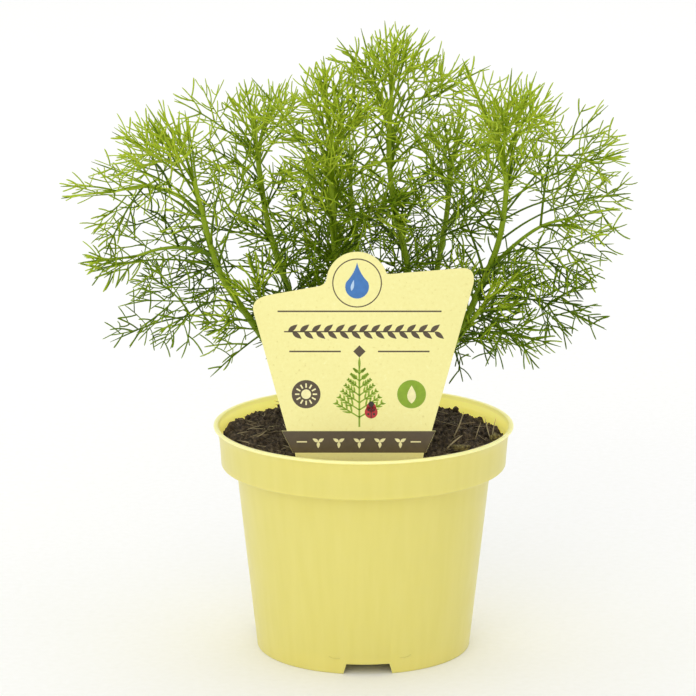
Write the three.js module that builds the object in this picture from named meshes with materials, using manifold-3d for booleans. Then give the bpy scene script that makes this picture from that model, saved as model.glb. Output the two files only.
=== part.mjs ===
// Potted southernwood: a feathery herb grown from cuttings in a yellow plastic pot, with a plant label.
// Millimetres, +Z up. The pot stands on z = 0, the label faces -Y, and the origin is below the middle of
// the whole object's box. Each section is modelled about the pot's axis, and the whole is moved at the end.

import * as THREE from "three";
import { mergeVertices } from "three/addons/utils/BufferGeometryUtils.js";
import Module from "manifold-3d";

const wasm = await Module();
wasm.setup();

const { degToRad, clamp } = THREE.MathUtils;
const X = new THREE.Vector3(1, 0, 0);
const Y = new THREE.Vector3(0, 1, 0);
const DOWN = new THREE.Vector3(0, 0, -1);

// Driving dimensions
const POT_HEIGHT = 91.5;
const RIM_RADIUS = 60;
const BASE_RADIUS = 42.9;
const SHOULDER_HEIGHT = 75; // underside of the rim band
const SHOULDER_RADIUS = 51; // body just below the band
const BAND_RADIUS = 57; // band at its lower edge
const BAND_FLARE = 1; // how much wider the band is where the lip begins to turn out
const WALL = 1.2;
const FLOOR_BOTTOM = 4.8; // the floor stands clear of the table, inside the foot ring
const GAP = 0.3; // between pieces that touch
const SOIL_LEVEL = 86; // where the soil meets the wall
const LABEL_THICK = 0.7;
const LABEL_Y = -41; // the label's plane at the soil's level
const LABEL_LEAN = degToRad(3); // backwards, towards the plant

// Closed solids from geometry and back

function solidFromArrays(positions, indices) {
  return new wasm.Manifold(
    new wasm.Mesh({
      numProp: 3,
      vertProperties: new Float32Array(positions),
      triVerts: new Uint32Array(indices),
    }),
  );
}

function solidFromGeometry(geometry) {
  const bare = geometry.clone();
  bare.deleteAttribute("normal");
  bare.deleteAttribute("uv");
  const merged = mergeVertices(bare, 1e-4);
  return solidFromArrays(merged.attributes.position.array, merged.index.array);
}

function geometryFromSolid(solid) {
  const mesh = solid.getMesh();
  const geometry = new THREE.BufferGeometry();
  geometry.setAttribute("position", new THREE.BufferAttribute(mesh.vertProperties, 3));
  geometry.setIndex(new THREE.BufferAttribute(mesh.triVerts, 1));
  const faceted = geometry.toNonIndexed();
  faceted.computeVertexNormals();
  return faceted;
}

// A solid skinned over rings of points: each ring has the same number of corners, and the ends are flat.
function skinned(rings) {
  const sides = rings[0].length;
  const faces = [];
  for (let ring = 0; ring + 1 < rings.length; ring++) {
    for (let side = 0; side < sides; side++) {
      const here = ring * sides + side;
      const next = ring * sides + ((side + 1) % sides);
      faces.push([here, next, next + sides], [here, next + sides, here + sides]);
    }
  }
  const last = (rings.length - 1) * sides;
  for (let side = 1; side + 1 < sides; side++) {
    faces.push([0, side + 1, side], [last, last + side, last + side + 1]);
  }
  return solidFromArrays(rings.flat().flatMap((point) => point.toArray()), faces.flat());
}

// Corners of an even polygon round a centre, in the plane of two directions.
function polygon(centre, first, second, radius, sides) {
  return Array.from({ length: sides }, (_, side) => {
    const angle = (side * 2 * Math.PI) / sides;
    const corner = centre.clone().addScaledVector(first, radius * Math.cos(angle));
    return corner.addScaledVector(second, radius * Math.sin(angle));
  });
}

// Pot: one injection-moulded shell with a lip that turns out, a deep rim band and a raised floor

const POT_SEGMENTS = 42;
const SHOULDER_TOP = SHOULDER_HEIGHT + WALL; // the ledge inside, where the band begins
const FLOOR_TOP = FLOOR_BOTTOM + WALL;
const BAND_HEIGHT = POT_HEIGHT - SHOULDER_TOP;
const BODY_SLOPE = (SHOULDER_RADIUS - BASE_RADIUS) / SHOULDER_HEIGHT;

// Inner radius of the pot's wall at a height, below and above the ledge.
function innerRadius(height) {
  if (height < SHOULDER_TOP) return BASE_RADIUS - WALL + BODY_SLOPE * height;
  return BAND_RADIUS - WALL + (BAND_FLARE * (height - SHOULDER_TOP)) / BAND_HEIGHT;
}

// Half of the pot's section, as radius and height: up the outside, over the lip and down the inside.
function potProfile() {
  const underFloor = [[0, FLOOR_BOTTOM], [BASE_RADIUS - 2, FLOOR_BOTTOM]];
  const footRing = [[BASE_RADIUS - 2, 0], [BASE_RADIUS - 0.5, 0], [BASE_RADIUS, 0.5]];
  const shoulder = [
    [SHOULDER_RADIUS - 0.3, SHOULDER_HEIGHT - 3],
    [SHOULDER_RADIUS + 0.6, SHOULDER_HEIGHT - 0.8],
    [SHOULDER_RADIUS + 2.2, SHOULDER_HEIGHT],
    [BAND_RADIUS - 0.8, SHOULDER_HEIGHT],
    [BAND_RADIUS, SHOULDER_HEIGHT + 0.8],
  ];
  const lip = [
    [BAND_RADIUS + BAND_FLARE, POT_HEIGHT - 4.5],
    [RIM_RADIUS - 1, POT_HEIGHT - 2],
    [RIM_RADIUS, POT_HEIGHT - 0.8],
    [RIM_RADIUS - 0.5, POT_HEIGHT],
    [RIM_RADIUS - 1.3, POT_HEIGHT],
    [RIM_RADIUS - 2.3, POT_HEIGHT - 1.6],
    [innerRadius(POT_HEIGHT - 4), POT_HEIGHT - 4],
  ];
  const ledge = [
    [innerRadius(SHOULDER_TOP), SHOULDER_TOP + 0.4],
    [innerRadius(SHOULDER_TOP) - 0.6, SHOULDER_TOP],
    [innerRadius(SHOULDER_TOP - 0.4), SHOULDER_TOP - 0.4],
  ];
  const floor = [[innerRadius(FLOOR_TOP), FLOOR_TOP], [0, FLOOR_TOP]];
  return [...underFloor, ...footRing, ...shoulder, ...lip, ...ledge, ...floor];
}

const NOTCH = { height: 4.3, topWidth: 17, bottomWidth: 20.8, below: 1, deep: 14, outside: 4 };
const NOTCH_TURNS = [2.2, 122.2, 242.2]; // degrees from the front
const DRAINS = { radius: 4, circle: 27, count: 6, sides: 8, middleRadius: 5 };

// A drainage notch in the foot ring: the front one, turned about the pot's axis.
function notchCut(turn) {
  const shape = new THREE.Shape([
    new THREE.Vector2(-NOTCH.bottomWidth / 2, -NOTCH.below),
    new THREE.Vector2(NOTCH.bottomWidth / 2, -NOTCH.below),
    new THREE.Vector2(NOTCH.topWidth / 2, NOTCH.height),
    new THREE.Vector2(-NOTCH.topWidth / 2, NOTCH.height),
  ]);
  const cut = new THREE.ExtrudeGeometry(shape, { depth: NOTCH.deep, bevelEnabled: false });
  cut.rotateX(Math.PI / 2).translate(0, NOTCH.deep - BASE_RADIUS - NOTCH.outside, 0);
  return solidFromGeometry(cut.rotateZ(degToRad(turn)));
}

function drainCut(x, y, radius) {
  const hole = new THREE.CylinderGeometry(radius, radius, 4 * WALL, DRAINS.sides);
  return solidFromGeometry(hole.rotateX(Math.PI / 2).translate(x, y, FLOOR_BOTTOM + WALL / 2));
}

function potSolid() {
  const profile = potProfile().map(([radius, height]) => new THREE.Vector2(radius, height));
  let pot = solidFromGeometry(new THREE.LatheGeometry(profile, POT_SEGMENTS).rotateX(Math.PI / 2));
  for (const turn of NOTCH_TURNS) pot = pot.subtract(notchCut(turn));
  pot = pot.subtract(drainCut(0, 0, DRAINS.middleRadius));
  for (let hole = 0; hole < DRAINS.count; hole++) {
    const angle = ((hole + 0.5) * 2 * Math.PI) / DRAINS.count;
    const x = DRAINS.circle * Math.cos(angle);
    const y = DRAINS.circle * Math.sin(angle);
    pot = pot.subtract(drainCut(x, y, DRAINS.radius));
  }
  return pot;
}

// Label: a stiff printed tag with a round head. Its stake stands in a slot of the soil, inside the rim.

const FOOT_BAND = { bottom: 90.2, top: 98.9 }; // the card is a little wider here
const SHOULDER = { left: -26, right: 22.4, height: SOIL_LEVEL - 2 }; // where it narrows to its stake
const STAKE = { half: 7, top: SOIL_LEVEL - 6, taperTop: 54, tip: 42 };

// The tag's outline, as seen from the front: across from the pot's axis, and up from the table.
function labelShape() {
  const tag = new THREE.Shape();
  tag.moveTo(0, STAKE.tip);
  tag.lineTo(STAKE.half, STAKE.taperTop);
  tag.lineTo(STAKE.half, STAKE.top);
  tag.lineTo(SHOULDER.right, SHOULDER.height);
  tag.lineTo(23.4, FOOT_BAND.bottom);
  tag.lineTo(24.1, FOOT_BAND.bottom);
  tag.lineTo(27.9, FOOT_BAND.top);
  tag.lineTo(26.4, FOOT_BAND.top);
  tag.lineTo(42.3, 156.9);
  tag.quadraticCurveTo(43.4, 163.2, 38, 163.1); // rounded right corner
  tag.lineTo(11.4, 160.9);
  tag.quadraticCurveTo(9.2, 160.6, 8.7, 161.1);
  tag.absarc(-2.7, 157.6, 11.9, 0.3, 3, false); // round head above the top edge
  tag.quadraticCurveTo(-14.6, 156.6, -18, 155.9);
  tag.lineTo(-36, 152.7);
  tag.quadraticCurveTo(-43.9, 151.4, -42.9, 146.2); // rounded left corner
  tag.lineTo(-30, FOOT_BAND.top);
  tag.lineTo(-32, FOOT_BAND.top);
  tag.lineTo(-27.7, FOOT_BAND.bottom);
  tag.lineTo(-26.9, FOOT_BAND.bottom);
  tag.lineTo(SHOULDER.left, SHOULDER.height);
  tag.lineTo(-STAKE.half, STAKE.top);
  tag.lineTo(-STAKE.half, STAKE.taperTop);
  tag.closePath();
  return tag;
}

// Stands a flat outline up in the label's plane, leaning about the soil's level.
function placedLabel(shape, back, front) {
  const depth = back + front;
  const sheet = new THREE.ExtrudeGeometry(shape, { depth, bevelEnabled: false, curveSegments: 6 });
  sheet.translate(0, -SOIL_LEVEL, -back);
  return sheet.rotateX(Math.PI / 2 - LABEL_LEAN).translate(0, LABEL_Y, SOIL_LEVEL);
}

function labelSolid() {
  return solidFromGeometry(placedLabel(labelShape(), 0, LABEL_THICK));
}

// The slot that the label's stake and shoulders stand in, open at the top.
function labelSlot() {
  const clear = GAP + 0.1;
  const side = STAKE.half + clear;
  const left = SHOULDER.left - clear;
  const right = SHOULDER.right + clear;
  const outline = [
    [0, STAKE.tip - 2],
    [side, STAKE.taperTop - clear],
    [side, STAKE.top - clear],
    [right, SHOULDER.height - clear],
    [right + 3, SOIL_LEVEL + 12],
    [left - 3, SOIL_LEVEL + 12],
    [left, SHOULDER.height - clear],
    [-side, STAKE.top - clear],
    [-side, STAKE.taperTop - clear],
  ];
  const slot = new THREE.Shape(outline.map(([across, up]) => new THREE.Vector2(across, up)));
  return solidFromGeometry(placedLabel(slot, GAP, LABEL_THICK + GAP));
}

// Shoots: each is a cutting that stands in the soil, with its leaves fused to it. Points are [x, y, z], and
// the second one is at the soil's level. leaves: how many it bears; bare: the share of the stem below the
// first; long: its longest leaf.

const SHOOTS = [
  {
    name: "shoot_left",
    stem: [
      [-14, 0, 64], [-15, 0, 86], [-27, -2, 108], [-43, -4, 132],
      [-57, -6, 155], [-64, -6, 180], [-67, -5, 192],
    ],
    radius: 1.8, leaves: 12, bare: 0.35, long: 62, seed: 61111,
    sides: [
      {
        stem: [[-63.4, -6, 177], [-73, -9, 186], [-86, -11, 190], [-99, -12, 188]],
        radius: 0.9, leaves: 3, bare: 0.4, long: 36,
      },
      {
        stem: [[-59, -6, 161], [-69, -9, 165], [-80, -11, 165], [-91, -13, 162]],
        radius: 0.9, leaves: 3, bare: 0.45, long: 36,
      },
    ],
  },
  {
    name: "shoot_middle_left",
    stem: [[-4, 8, 64], [-5, 8, 86], [-8, 6, 128], [-12, 4, 171], [-13, 3, 208]],
    radius: 2.2, leaves: 13, bare: 0.38, long: 52, seed: 61932, sides: [],
  },
  {
    name: "shoot_middle_right",
    stem: [
      [9, 12, 64], [10, 12, 86], [18, 14, 118], [18, 14, 150],
      [12, 14, 178], [10, 14, 202], [11, 14, 221],
    ],
    radius: 1.7, leaves: 13, bare: 0.38, long: 52, seed: 87049, sides: [],
  },
  {
    name: "shoot_right",
    stem: [
      [18, -2, 64], [19, -2, 86], [30, -4, 112], [44, -5, 143],
      [53, -5, 166], [56, -5, 188], [54, -4, 200],
    ],
    radius: 1.7, leaves: 12, bare: 0.34, long: 64, seed: 45058,
    sides: [
      {
        stem: [[48.5, -5, 154], [58, -9, 165], [69, -12, 174], [80, -14, 178]],
        radius: 0.9, leaves: 3, bare: 0.4, long: 36,
      },
    ],
  },
  {
    name: "shoot_back_left",
    stem: [[-9, 22, 64], [-10, 22, 86], [-24, 30, 122], [-37, 38, 158], [-42, 41, 186], [-43, 42, 198]],
    radius: 1.7, leaves: 9, bare: 0.38, long: 50, seed: 86360, sides: [],
  },
  {
    name: "shoot_back_right",
    stem: [[13, 25, 64], [14, 25, 86], [25, 34, 124], [33, 42, 162], [36, 45, 190]],
    radius: 1.7, leaves: 9, bare: 0.38, long: 50, seed: 85479, sides: [],
  },
  {
    name: "shoot_back",
    stem: [[1, 31, 64], [1, 31, 86], [0, 44, 122], [-3, 55, 156], [-5, 59, 172]],
    radius: 1.7, leaves: 8, bare: 0.4, long: 46, seed: 11597, sides: [],
  },
  {
    name: "shoot_low_left",
    stem: [[-13, -14, 64], [-14, -14, 86], [-22, -18, 110], [-31, -22, 130], [-41, -25, 146]],
    radius: 1.5, leaves: 6, bare: 0.55, long: 38, seed: 61900, sides: [],
  },
  {
    name: "shoot_low_right",
    stem: [[16, -15, 64], [17, -15, 86], [25, -19, 110], [36, -23, 130], [47, -26, 146]],
    radius: 1.6, leaves: 6, bare: 0.55, long: 40, seed: 46166, sides: [],
  },
];

// Repeatable random draws: one seed always gives the same numbers, from 0 to 1.
function draws(seed) {
  let state = seed;
  return () => {
    state = (state * 48271) % 2147483647;
    return state / 2147483647;
  };
}

// A smooth curve through a stem's points.
function stemCurve(points) {
  const knots = points.map((point) => new THREE.Vector3(...point));
  return new THREE.CatmullRomCurve3(knots, false, "catmullrom", 0.5);
}

// Two directions square to a direction and to each other.
function squareTo(direction) {
  const guide = Math.abs(direction.y) < 0.9 ? Y : X;
  const first = new THREE.Vector3().crossVectors(direction, guide).normalize();
  const second = new THREE.Vector3().crossVectors(direction, first).normalize();
  return [first, second];
}

// Between two directions, by an angle from the first.
function turned(first, second, angle) {
  return first.clone().multiplyScalar(Math.cos(angle)).addScaledVector(second, Math.sin(angle));
}

const STEM_SIDES = 5;
const STEM_STEP = 16; // millimetres between a stem's rings
const STEM_TAPER = 0.45;

// A stem's centres and rings from its foot up, wider all round by a clearance.
function stemRings({ stem, radius }, clearance) {
  const curve = stemCurve(stem);
  const count = Math.round(curve.getLength() / STEM_STEP);
  return Array.from({ length: count + 1 }, (_, index) => {
    const at = index / count;
    const centre = curve.getPoint(at);
    const [first, second] = squareTo(curve.getTangent(at));
    const wide = radius * (1 - STEM_TAPER * at) + clearance;
    return { centre, ring: polygon(centre, first, second, wide, STEM_SIDES) };
  });
}

function stemSolid(stem) {
  return skinned(stemRings(stem, 0).map(({ ring }) => ring));
}

// Room for leaves: the straight pieces of the plant so far, which a new piece must not touch

const grown = []; // each knows its shoot, its leaf (none on a stem) and its radius
const APART = 0.5; // between pieces of two shoots
const BESIDE = 0.2; // between leaves of one shoot
const JOINED = 2; // pieces of one leaf that start this close together are one growth
const RIB_MARGIN = { label: 9, lowest: 119 }; // how far a midrib stays behind the label, and over the table
const LOBE_MARGIN = { label: 1.5, lowest: 117 };
const LABEL_HALF = 47; // half of the width, and the height, behind which leaves stay back
const LABEL_TOP = 176;

// Smallest distance between two straight pieces.
function distanceBetween(one, other) {
  const first = one.end.clone().sub(one.start);
  const second = other.end.clone().sub(other.start);
  const offset = one.start.clone().sub(other.start);
  const firstSquared = first.dot(first);
  const secondSquared = second.dot(second);
  const product = first.dot(second);
  const slope = firstSquared * secondSquared - product * product;
  const lead = product * second.dot(offset) - first.dot(offset) * secondSquared;
  let along = slope < 1e-9 ? 0 : clamp(lead / slope, 0, 1);
  const beside = clamp((product * along + second.dot(offset)) / secondSquared, 0, 1);
  along = clamp((product * beside - first.dot(offset)) / firstSquared, 0, 1);
  return offset.addScaledVector(first, along).addScaledVector(second, -beside).length();
}

function distanceTo(point, piece) {
  const along = piece.end.clone().sub(piece.start);
  const offset = point.clone().sub(piece.start);
  const share = clamp(offset.dot(along) / along.dot(along), 0, 1);
  return offset.addScaledVector(along, -share).length();
}

function meets(piece, other) {
  const reach = piece.radius + other.radius;
  if (other.shoot !== piece.shoot) return distanceBetween(piece, other) < reach + APART;
  if (!other.leaf || piece.rooted) return false;
  if (other.leaf === piece.leaf && distanceTo(piece.start, other) < JOINED) return false;
  return distanceBetween(piece, other) < reach + BESIDE;
}

function isFree(piece, margin) {
  const middle = piece.start.clone().lerp(piece.end, 0.5);
  const outOfBounds = [middle, piece.end].some((point) => {
    const back = LABEL_Y + (point.z - SOIL_LEVEL) * Math.tan(LABEL_LEAN) + margin.label;
    const nearLabel = Math.abs(point.x) < LABEL_HALF && point.z < LABEL_TOP && point.y < back;
    return nearLabel || point.z < margin.lowest;
  });
  return !outOfBounds && !grown.some((other) => meets(piece, other));
}

// Leaf plan: where each leaf grows, and the line of its midrib

const LEAF_TURN = degToRad(137.5); // from one leaf to the next, round the stem
const OPEN = { low: 66, high: 40, spread: 8 }; // degrees between stem and leaf, from foot to tip
const LENGTHS = { least: 0.84, spread: 0.26, tipLoss: 0.35 }; // shares of a shoot's longest leaf
const SAG = { leaf: 0.2, young: 0.03 }; // how much each stretch of a leaf turns down
const LAST_LEAF = 0.95; // share of the stem below the last spread leaf
const YOUNG = { count: 3, open: 14, step: 13, least: 0.52, spread: 0.18, at: 0.99, apart: 0.02 };
const THIN_STEM = 1.4; // a side stem this thin ends in one young leaf
const NEARLY_STRAIGHT = 0.16; // a leaf that sags less needs no ring in its stalk
const STRETCHES = [0.2, 0.2, 0.28, 0.32]; // of a midrib, as shares of the leaf's length
const RIB_RADIUS = 0.9; // round a midrib's square section

// A leaf's midrib, turning a little further down at each point.
function midribPoints(root, direction, long, sag) {
  const points = [root.clone()];
  const heading = direction.clone();
  for (const share of STRETCHES) {
    points.push(points.at(-1).clone().addScaledVector(heading, share * long));
    heading.addScaledVector(DOWN, sag).normalize();
  }
  return points;
}

// Away from the stem. Leaves on the clump's outside turn to the light, away from its middle.
const CLUMP_MIDDLE = new THREE.Vector3(0, 12, 0);
const TO_LIGHT = 0.012; // for each millimetre from the middle

function leafOutward(root, along, angle) {
  const [first, second] = squareTo(along);
  const away = root.clone().sub(CLUMP_MIDDLE).setZ(0);
  const outward = turned(first, second, angle).addScaledVector(away, TO_LIGHT);
  return outward.addScaledVector(along, -outward.dot(along)).normalize();
}

// Plants a leaf, turned round its stem little by little, to either side, until its midrib is clear.
const TURNS = [0, 1, -1, 2, -2, 3, -3, 4, -4, 6, -6, 8, -8, 10, -10];
const TURN_STEP = degToRad(14);

function plantLeaf(shoot, curve, { at, open, angle, long, sag, young }) {
  const along = curve.getTangent(at);
  const root = curve.getPoint(at);
  for (const turn of TURNS) {
    const outward = leafOutward(root, along, angle + turn * TURN_STEP);
    const points = midribPoints(root, turned(along, outward, open), long, sag);
    const leaf = { points, outward, long, young, straight: sag < NEARLY_STRAIGHT };
    const pieces = points.slice(1).map((end, index) => ({
      shoot, leaf, start: points[index], end, radius: RIB_RADIUS, rooted: index === 0,
    }));
    if (pieces.every((piece) => isFree(piece, RIB_MARGIN))) {
      grown.push(...pieces);
      return leaf;
    }
  }
  return null;
}

// All the leaves of one stem: spread ones up its length, then the young ones closed round its tip.
function leavesOf(shoot, stem, random) {
  const curve = stemCurve(stem.stem);
  const leaves = [];
  let angle = random() * 2 * Math.PI;
  for (let number = 0; number < stem.leaves; number++) {
    const share = number / (stem.leaves - 1);
    const at = stem.bare + (LAST_LEAF - stem.bare) * share;
    const open = degToRad(OPEN.low + (OPEN.high - OPEN.low) * share + OPEN.spread * (random() - 0.5));
    const full = stem.long * (LENGTHS.least + LENGTHS.spread * random());
    const long = full * (1 - LENGTHS.tipLoss * share ** 3);
    const sag = SAG.leaf * (1.15 - 0.75 * share);
    angle += LEAF_TURN + 0.3 * (random() - 0.5);
    leaves.push(plantLeaf(shoot, curve, { at, open, angle, long, sag, young: false }));
  }
  const count = stem.radius > THIN_STEM ? YOUNG.count : 1;
  for (let number = 0; number < count; number++) {
    const at = YOUNG.at - YOUNG.apart * number;
    const open = degToRad(YOUNG.open + YOUNG.step * number);
    const long = stem.long * (YOUNG.least + YOUNG.spread * random());
    angle += LEAF_TURN;
    leaves.push(plantLeaf(shoot, curve, { at, open, angle, long, sag: SAG.young, young: true }));
  }
  return leaves.filter(Boolean);
}

function stemsOf(shoot) {
  return [shoot, ...shoot.sides];
}

// Plans every midrib once all the stems stand, so that no leaf crosses the stem of another shoot.
const STEM_PIECES = 16;

function planLeaves() {
  for (const shoot of SHOOTS) {
    for (const { stem, radius } of stemsOf(shoot)) {
      const points = stemCurve(stem).getPoints(STEM_PIECES);
      points.slice(1).forEach((end, index) => {
        grown.push({ shoot: shoot.name, leaf: null, start: points[index], end, radius });
      });
    }
  }
  return SHOOTS.map((shoot) => {
    const random = draws(shoot.seed);
    return stemsOf(shoot).flatMap((stem) => leavesOf(shoot.name, stem, random));
  });
}

// A skin over square sections that grows ring by ring and branches. A ring's corners run from the lower
// left to the lower right, the upper right and the upper left, seen from behind.
const CORNERS = [[-1, -1], [1, -1], [1, 1], [-1, 1]];
const ALL_SIDES = [0, 1, 2, 3];
const UNDER_AND_TOP = [0, 2];

class Skin {
  points = [];
  faces = [];

  ring(centre, across, above, wide, high) {
    return CORNERS.map(([right, up]) => {
      const corner = centre.clone().addScaledVector(across, (right * wide) / 2);
      return this.points.push(corner.addScaledVector(above, (up * high) / 2)) - 1;
    });
  }

  close([a, b, c, d]) {
    this.faces.push([a, b, c], [a, c, d]);
  }

  walls(from, to, sides) {
    for (const side of sides) {
      const next = (side + 1) % 4;
      this.close([from[side], from[next], to[next], to[side]]);
    }
  }

  // A flat end that thins to an edge nearly as wide as the segment.
  tip([a, b, c, d], end, across, wide) {
    const left = this.points.push(end.clone().addScaledVector(across, -wide / 2)) - 1;
    const right = this.points.push(end.clone().addScaledVector(across, wide / 2)) - 1;
    this.close([a, b, right, left]);
    this.close([c, d, left, right]);
    this.faces.push([b, c, right], [d, a, left]);
  }

  // The open side of a joint between two rings: the first ring of a branch to the left (-1) or right (1).
  opening(from, to, side) {
    return side > 0 ? [to[1], from[1], from[2], to[2]] : [from[0], to[0], to[3], from[3]];
  }

  solid() {
    return solidFromArrays(this.points.flatMap((point) => point.toArray()), this.faces.flat());
  }
}

// Leaves: a midrib with pairs of pinnae, each pair in a plane of its own, and the lower pinnae forked

const JOINT = 1.5; // length of a joint, from whose sides two branches grow
const SEGMENT = { wide: 1.2, high: 0.9, tip: 0.9, radius: 0.75 };
const FORK = { at: 0.45, reach: 0.5, spread: 42 }; // where a pinna forks, and its side lobes
const WOBBLE = { spread: degToRad(14), lift: 0.3, raise: 0.35, least: 0.85, more: 0.3 };
const ROLL = { leaf: degToRad(80), next: degToRad(55), fork: degToRad(60), spread: degToRad(40) };
const RIB_WIDE = [1.7, 1.5, 1.35, 1.2];
const RIB_HIGH = [1.3, 1.2, 1.05, 0.95];

// Pairs of pinnae: the midrib point they grow from, degrees from the midrib, and share of the leaf's length.
const PAIRS = [
  { joint: 2, spread: 58, reach: 0.47, forks: true },
  { joint: 3, spread: 46, reach: 0.27, forks: false },
];
const YOUNG_PAIRS = [{ joint: 2, spread: 34, reach: 0.45, forks: false }];

// The plane of a pair, rolled about the growth that bears it: its direction across, and the one above it.
function rolled(across, along, angle) {
  const turnedAcross = turned(across, new THREE.Vector3().crossVectors(along, across), angle);
  return [turnedAcross, new THREE.Vector3().crossVectors(along, turnedAcross)];
}

// A pinna or lobe from the open side of a joint. Where it would touch another, the side is only closed.
function growBranch(skin, opening, { owner, start, heading, above, long, forks }, random) {
  const end = start.clone().addScaledVector(heading, long);
  const piece = { ...owner, start, end, radius: SEGMENT.radius };
  if (!isFree(piece, LOBE_MARGIN)) {
    skin.close(opening);
    return;
  }
  grown.push(piece);
  let across = new THREE.Vector3().crossVectors(above, heading).normalize();
  let last = opening;
  if (forks) {
    let top;
    [across, top] = rolled(across, heading, ROLL.fork + ROLL.spread * (random() - 0.5));
    const from = start.clone().addScaledVector(heading, FORK.at * long);
    const to = from.clone().addScaledVector(heading, JOINT);
    const first = skin.ring(from, across, top, SEGMENT.wide, SEGMENT.high);
    last = skin.ring(to, across, top, SEGMENT.wide, SEGMENT.high);
    skin.walls(opening, first, ALL_SIDES);
    const lobes = { owner, from, to, across, above: top, spread: FORK.spread, forks: false };
    growPair(skin, first, last, { ...lobes, long: FORK.reach * long }, random);
  }
  skin.tip(last, end, across, SEGMENT.tip);
}

// Two branches, one to each side of the joint between two rings.
function growPair(skin, first, last, pair, random) {
  const { owner, from, to, across, above, long, spread, forks } = pair;
  skin.walls(first, last, UNDER_AND_TOP);
  const along = to.clone().sub(from).normalize();
  const start = from.clone().lerp(to, 0.5);
  for (const side of [-1, 1]) {
    const angle = degToRad(spread) + WOBBLE.spread * (random() - 0.5);
    const lift = WOBBLE.lift * (random() - WOBBLE.raise);
    const reach = long * (WOBBLE.least + WOBBLE.more * random());
    const aside = turned(across.clone().multiplyScalar(side), above, lift);
    const branch = { owner, start, heading: turned(along, aside, angle), above, long: reach, forks };
    growBranch(skin, skin.opening(first, last, side), branch, random);
  }
}

function leafSolid(shoot, leaf, random) {
  const skin = new Skin();
  const owner = { shoot, leaf };
  const up = leaf.outward.clone().multiplyScalar(-0.6).addScaledVector(DOWN, -1); // its upper face's side
  const pairs = leaf.young ? YOUNG_PAIRS : PAIRS;
  let roll = ROLL.leaf * (random() - 0.5);
  let last = null;
  let across = null;
  for (let index = 0; index < STRETCHES.length; index++) {
    const pair = pairs.find(({ joint }) => joint === index);
    if (leaf.straight && index > 0 && !pair) continue;
    const from = leaf.points[index];
    const along = leaf.points[index + 1].clone().sub(from).normalize();
    across = new THREE.Vector3().crossVectors(up, along).normalize();
    let above = new THREE.Vector3().crossVectors(along, across);
    if (pair) {
      [across, above] = rolled(across, along, roll);
      roll += ROLL.next + ROLL.spread * (random() - 0.5);
    }
    const first = skin.ring(from, across, above, RIB_WIDE[index], RIB_HIGH[index]);
    if (last) skin.walls(last, first, ALL_SIDES);
    else skin.close(first.toReversed());
    last = first;
    if (pair) {
      const to = from.clone().addScaledVector(along, JOINT);
      last = skin.ring(to, across, above, RIB_WIDE[index], RIB_HIGH[index]);
      const pinnae = { ...pair, owner, from, to, across, above, long: leaf.long * pair.reach };
      growPair(skin, first, last, pinnae, random);
    }
  }
  skin.tip(last, leaf.points.at(-1), across, SEGMENT.tip);
  return skin.solid();
}

function shootSolid(shoot, leaves) {
  const random = draws(shoot.seed + 1000);
  const solids = stemsOf(shoot).map(stemSolid);
  for (const leaf of leaves) solids.push(leafSolid(shoot.name, leaf, random));
  return wasm.Manifold.union(solids);
}

// Soil: compost that fills the pot, crumbly on top, with a hole for each cutting and the label's slot

const SOIL_SIDES = 36;
const SOIL_SHARES = [0.84, 0.64, 0.42, 0.2]; // rings of its top, as shares of the pot's inner radius
const MOUND = 2.2; // height of the heap in the middle
const SOIL_BOTTOM = FLOOR_TOP + GAP;

// Height of the crumbly top over the table: a low mound, lower on the right, with lumps and crumbs.
function soilHeight(x, y) {
  const far = Math.hypot(x, y) / innerRadius(SOIL_LEVEL);
  const tilt = -0.018 * x + 0.012 * y;
  const lumps = Math.sin(0.31 * x + 1.3) * Math.cos(0.27 * y - 0.4) + 0.8 * Math.sin(0.63 * x - 0.55 * y);
  const crumbs = Math.sin(1.7 * x + 2.1 * y) * Math.cos(1.3 * x - 1.9 * y + 0.7);
  return SOIL_LEVEL + MOUND * (1 - far * far) + tilt + 0.7 * lumps + 0.6 * crumbs;
}

function flatRing(radius, height) {
  return polygon(new THREE.Vector3(0, 0, height), X, Y, radius, SOIL_SIDES);
}

function topRing(radius, lower) {
  const ring = flatRing(radius, 0);
  for (const point of ring) point.z = soilHeight(point.x, point.y) - lower;
  return ring;
}

const HOLE_CLEARANCE = 0.5; // round a stem's corners
const HOLE_TOP = SOIL_LEVEL + 8; // the hole's cut ends above the highest crumbs

// A plain hole that follows the foot of a cutting.
function stemHole(shoot) {
  const rings = stemRings(shoot, HOLE_CLEARANCE);
  const above = rings.findIndex(({ centre }) => centre.z > HOLE_TOP);
  for (const point of rings[0].ring) point.z -= GAP;
  return skinned(rings.slice(0, above + 1).map(({ ring }) => ring));
}

function soilSolid() {
  const neck = innerRadius(SHOULDER_TOP - 1) - 2 * GAP;
  const rings = [
    flatRing(innerRadius(SOIL_BOTTOM) - 2 * GAP, SOIL_BOTTOM),
    flatRing(neck, SHOULDER_TOP - 1),
    flatRing(neck, SHOULDER_TOP + GAP),
    flatRing(innerRadius(SHOULDER_TOP) - 1, SHOULDER_TOP + 2 * GAP),
    flatRing(innerRadius(SOIL_LEVEL - 3) - 2 * GAP, SOIL_LEVEL - 3),
    topRing(innerRadius(SOIL_LEVEL - 2) - 2 * GAP, 0.5),
    ...SOIL_SHARES.map((share) => topRing(share * innerRadius(SOIL_LEVEL), 0)),
  ];
  let soil = skinned(rings).subtract(labelSlot());
  for (const shoot of SHOOTS) soil = soil.subtract(stemHole(shoot));
  return soil;
}

// The assembled plant in its pot

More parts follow.
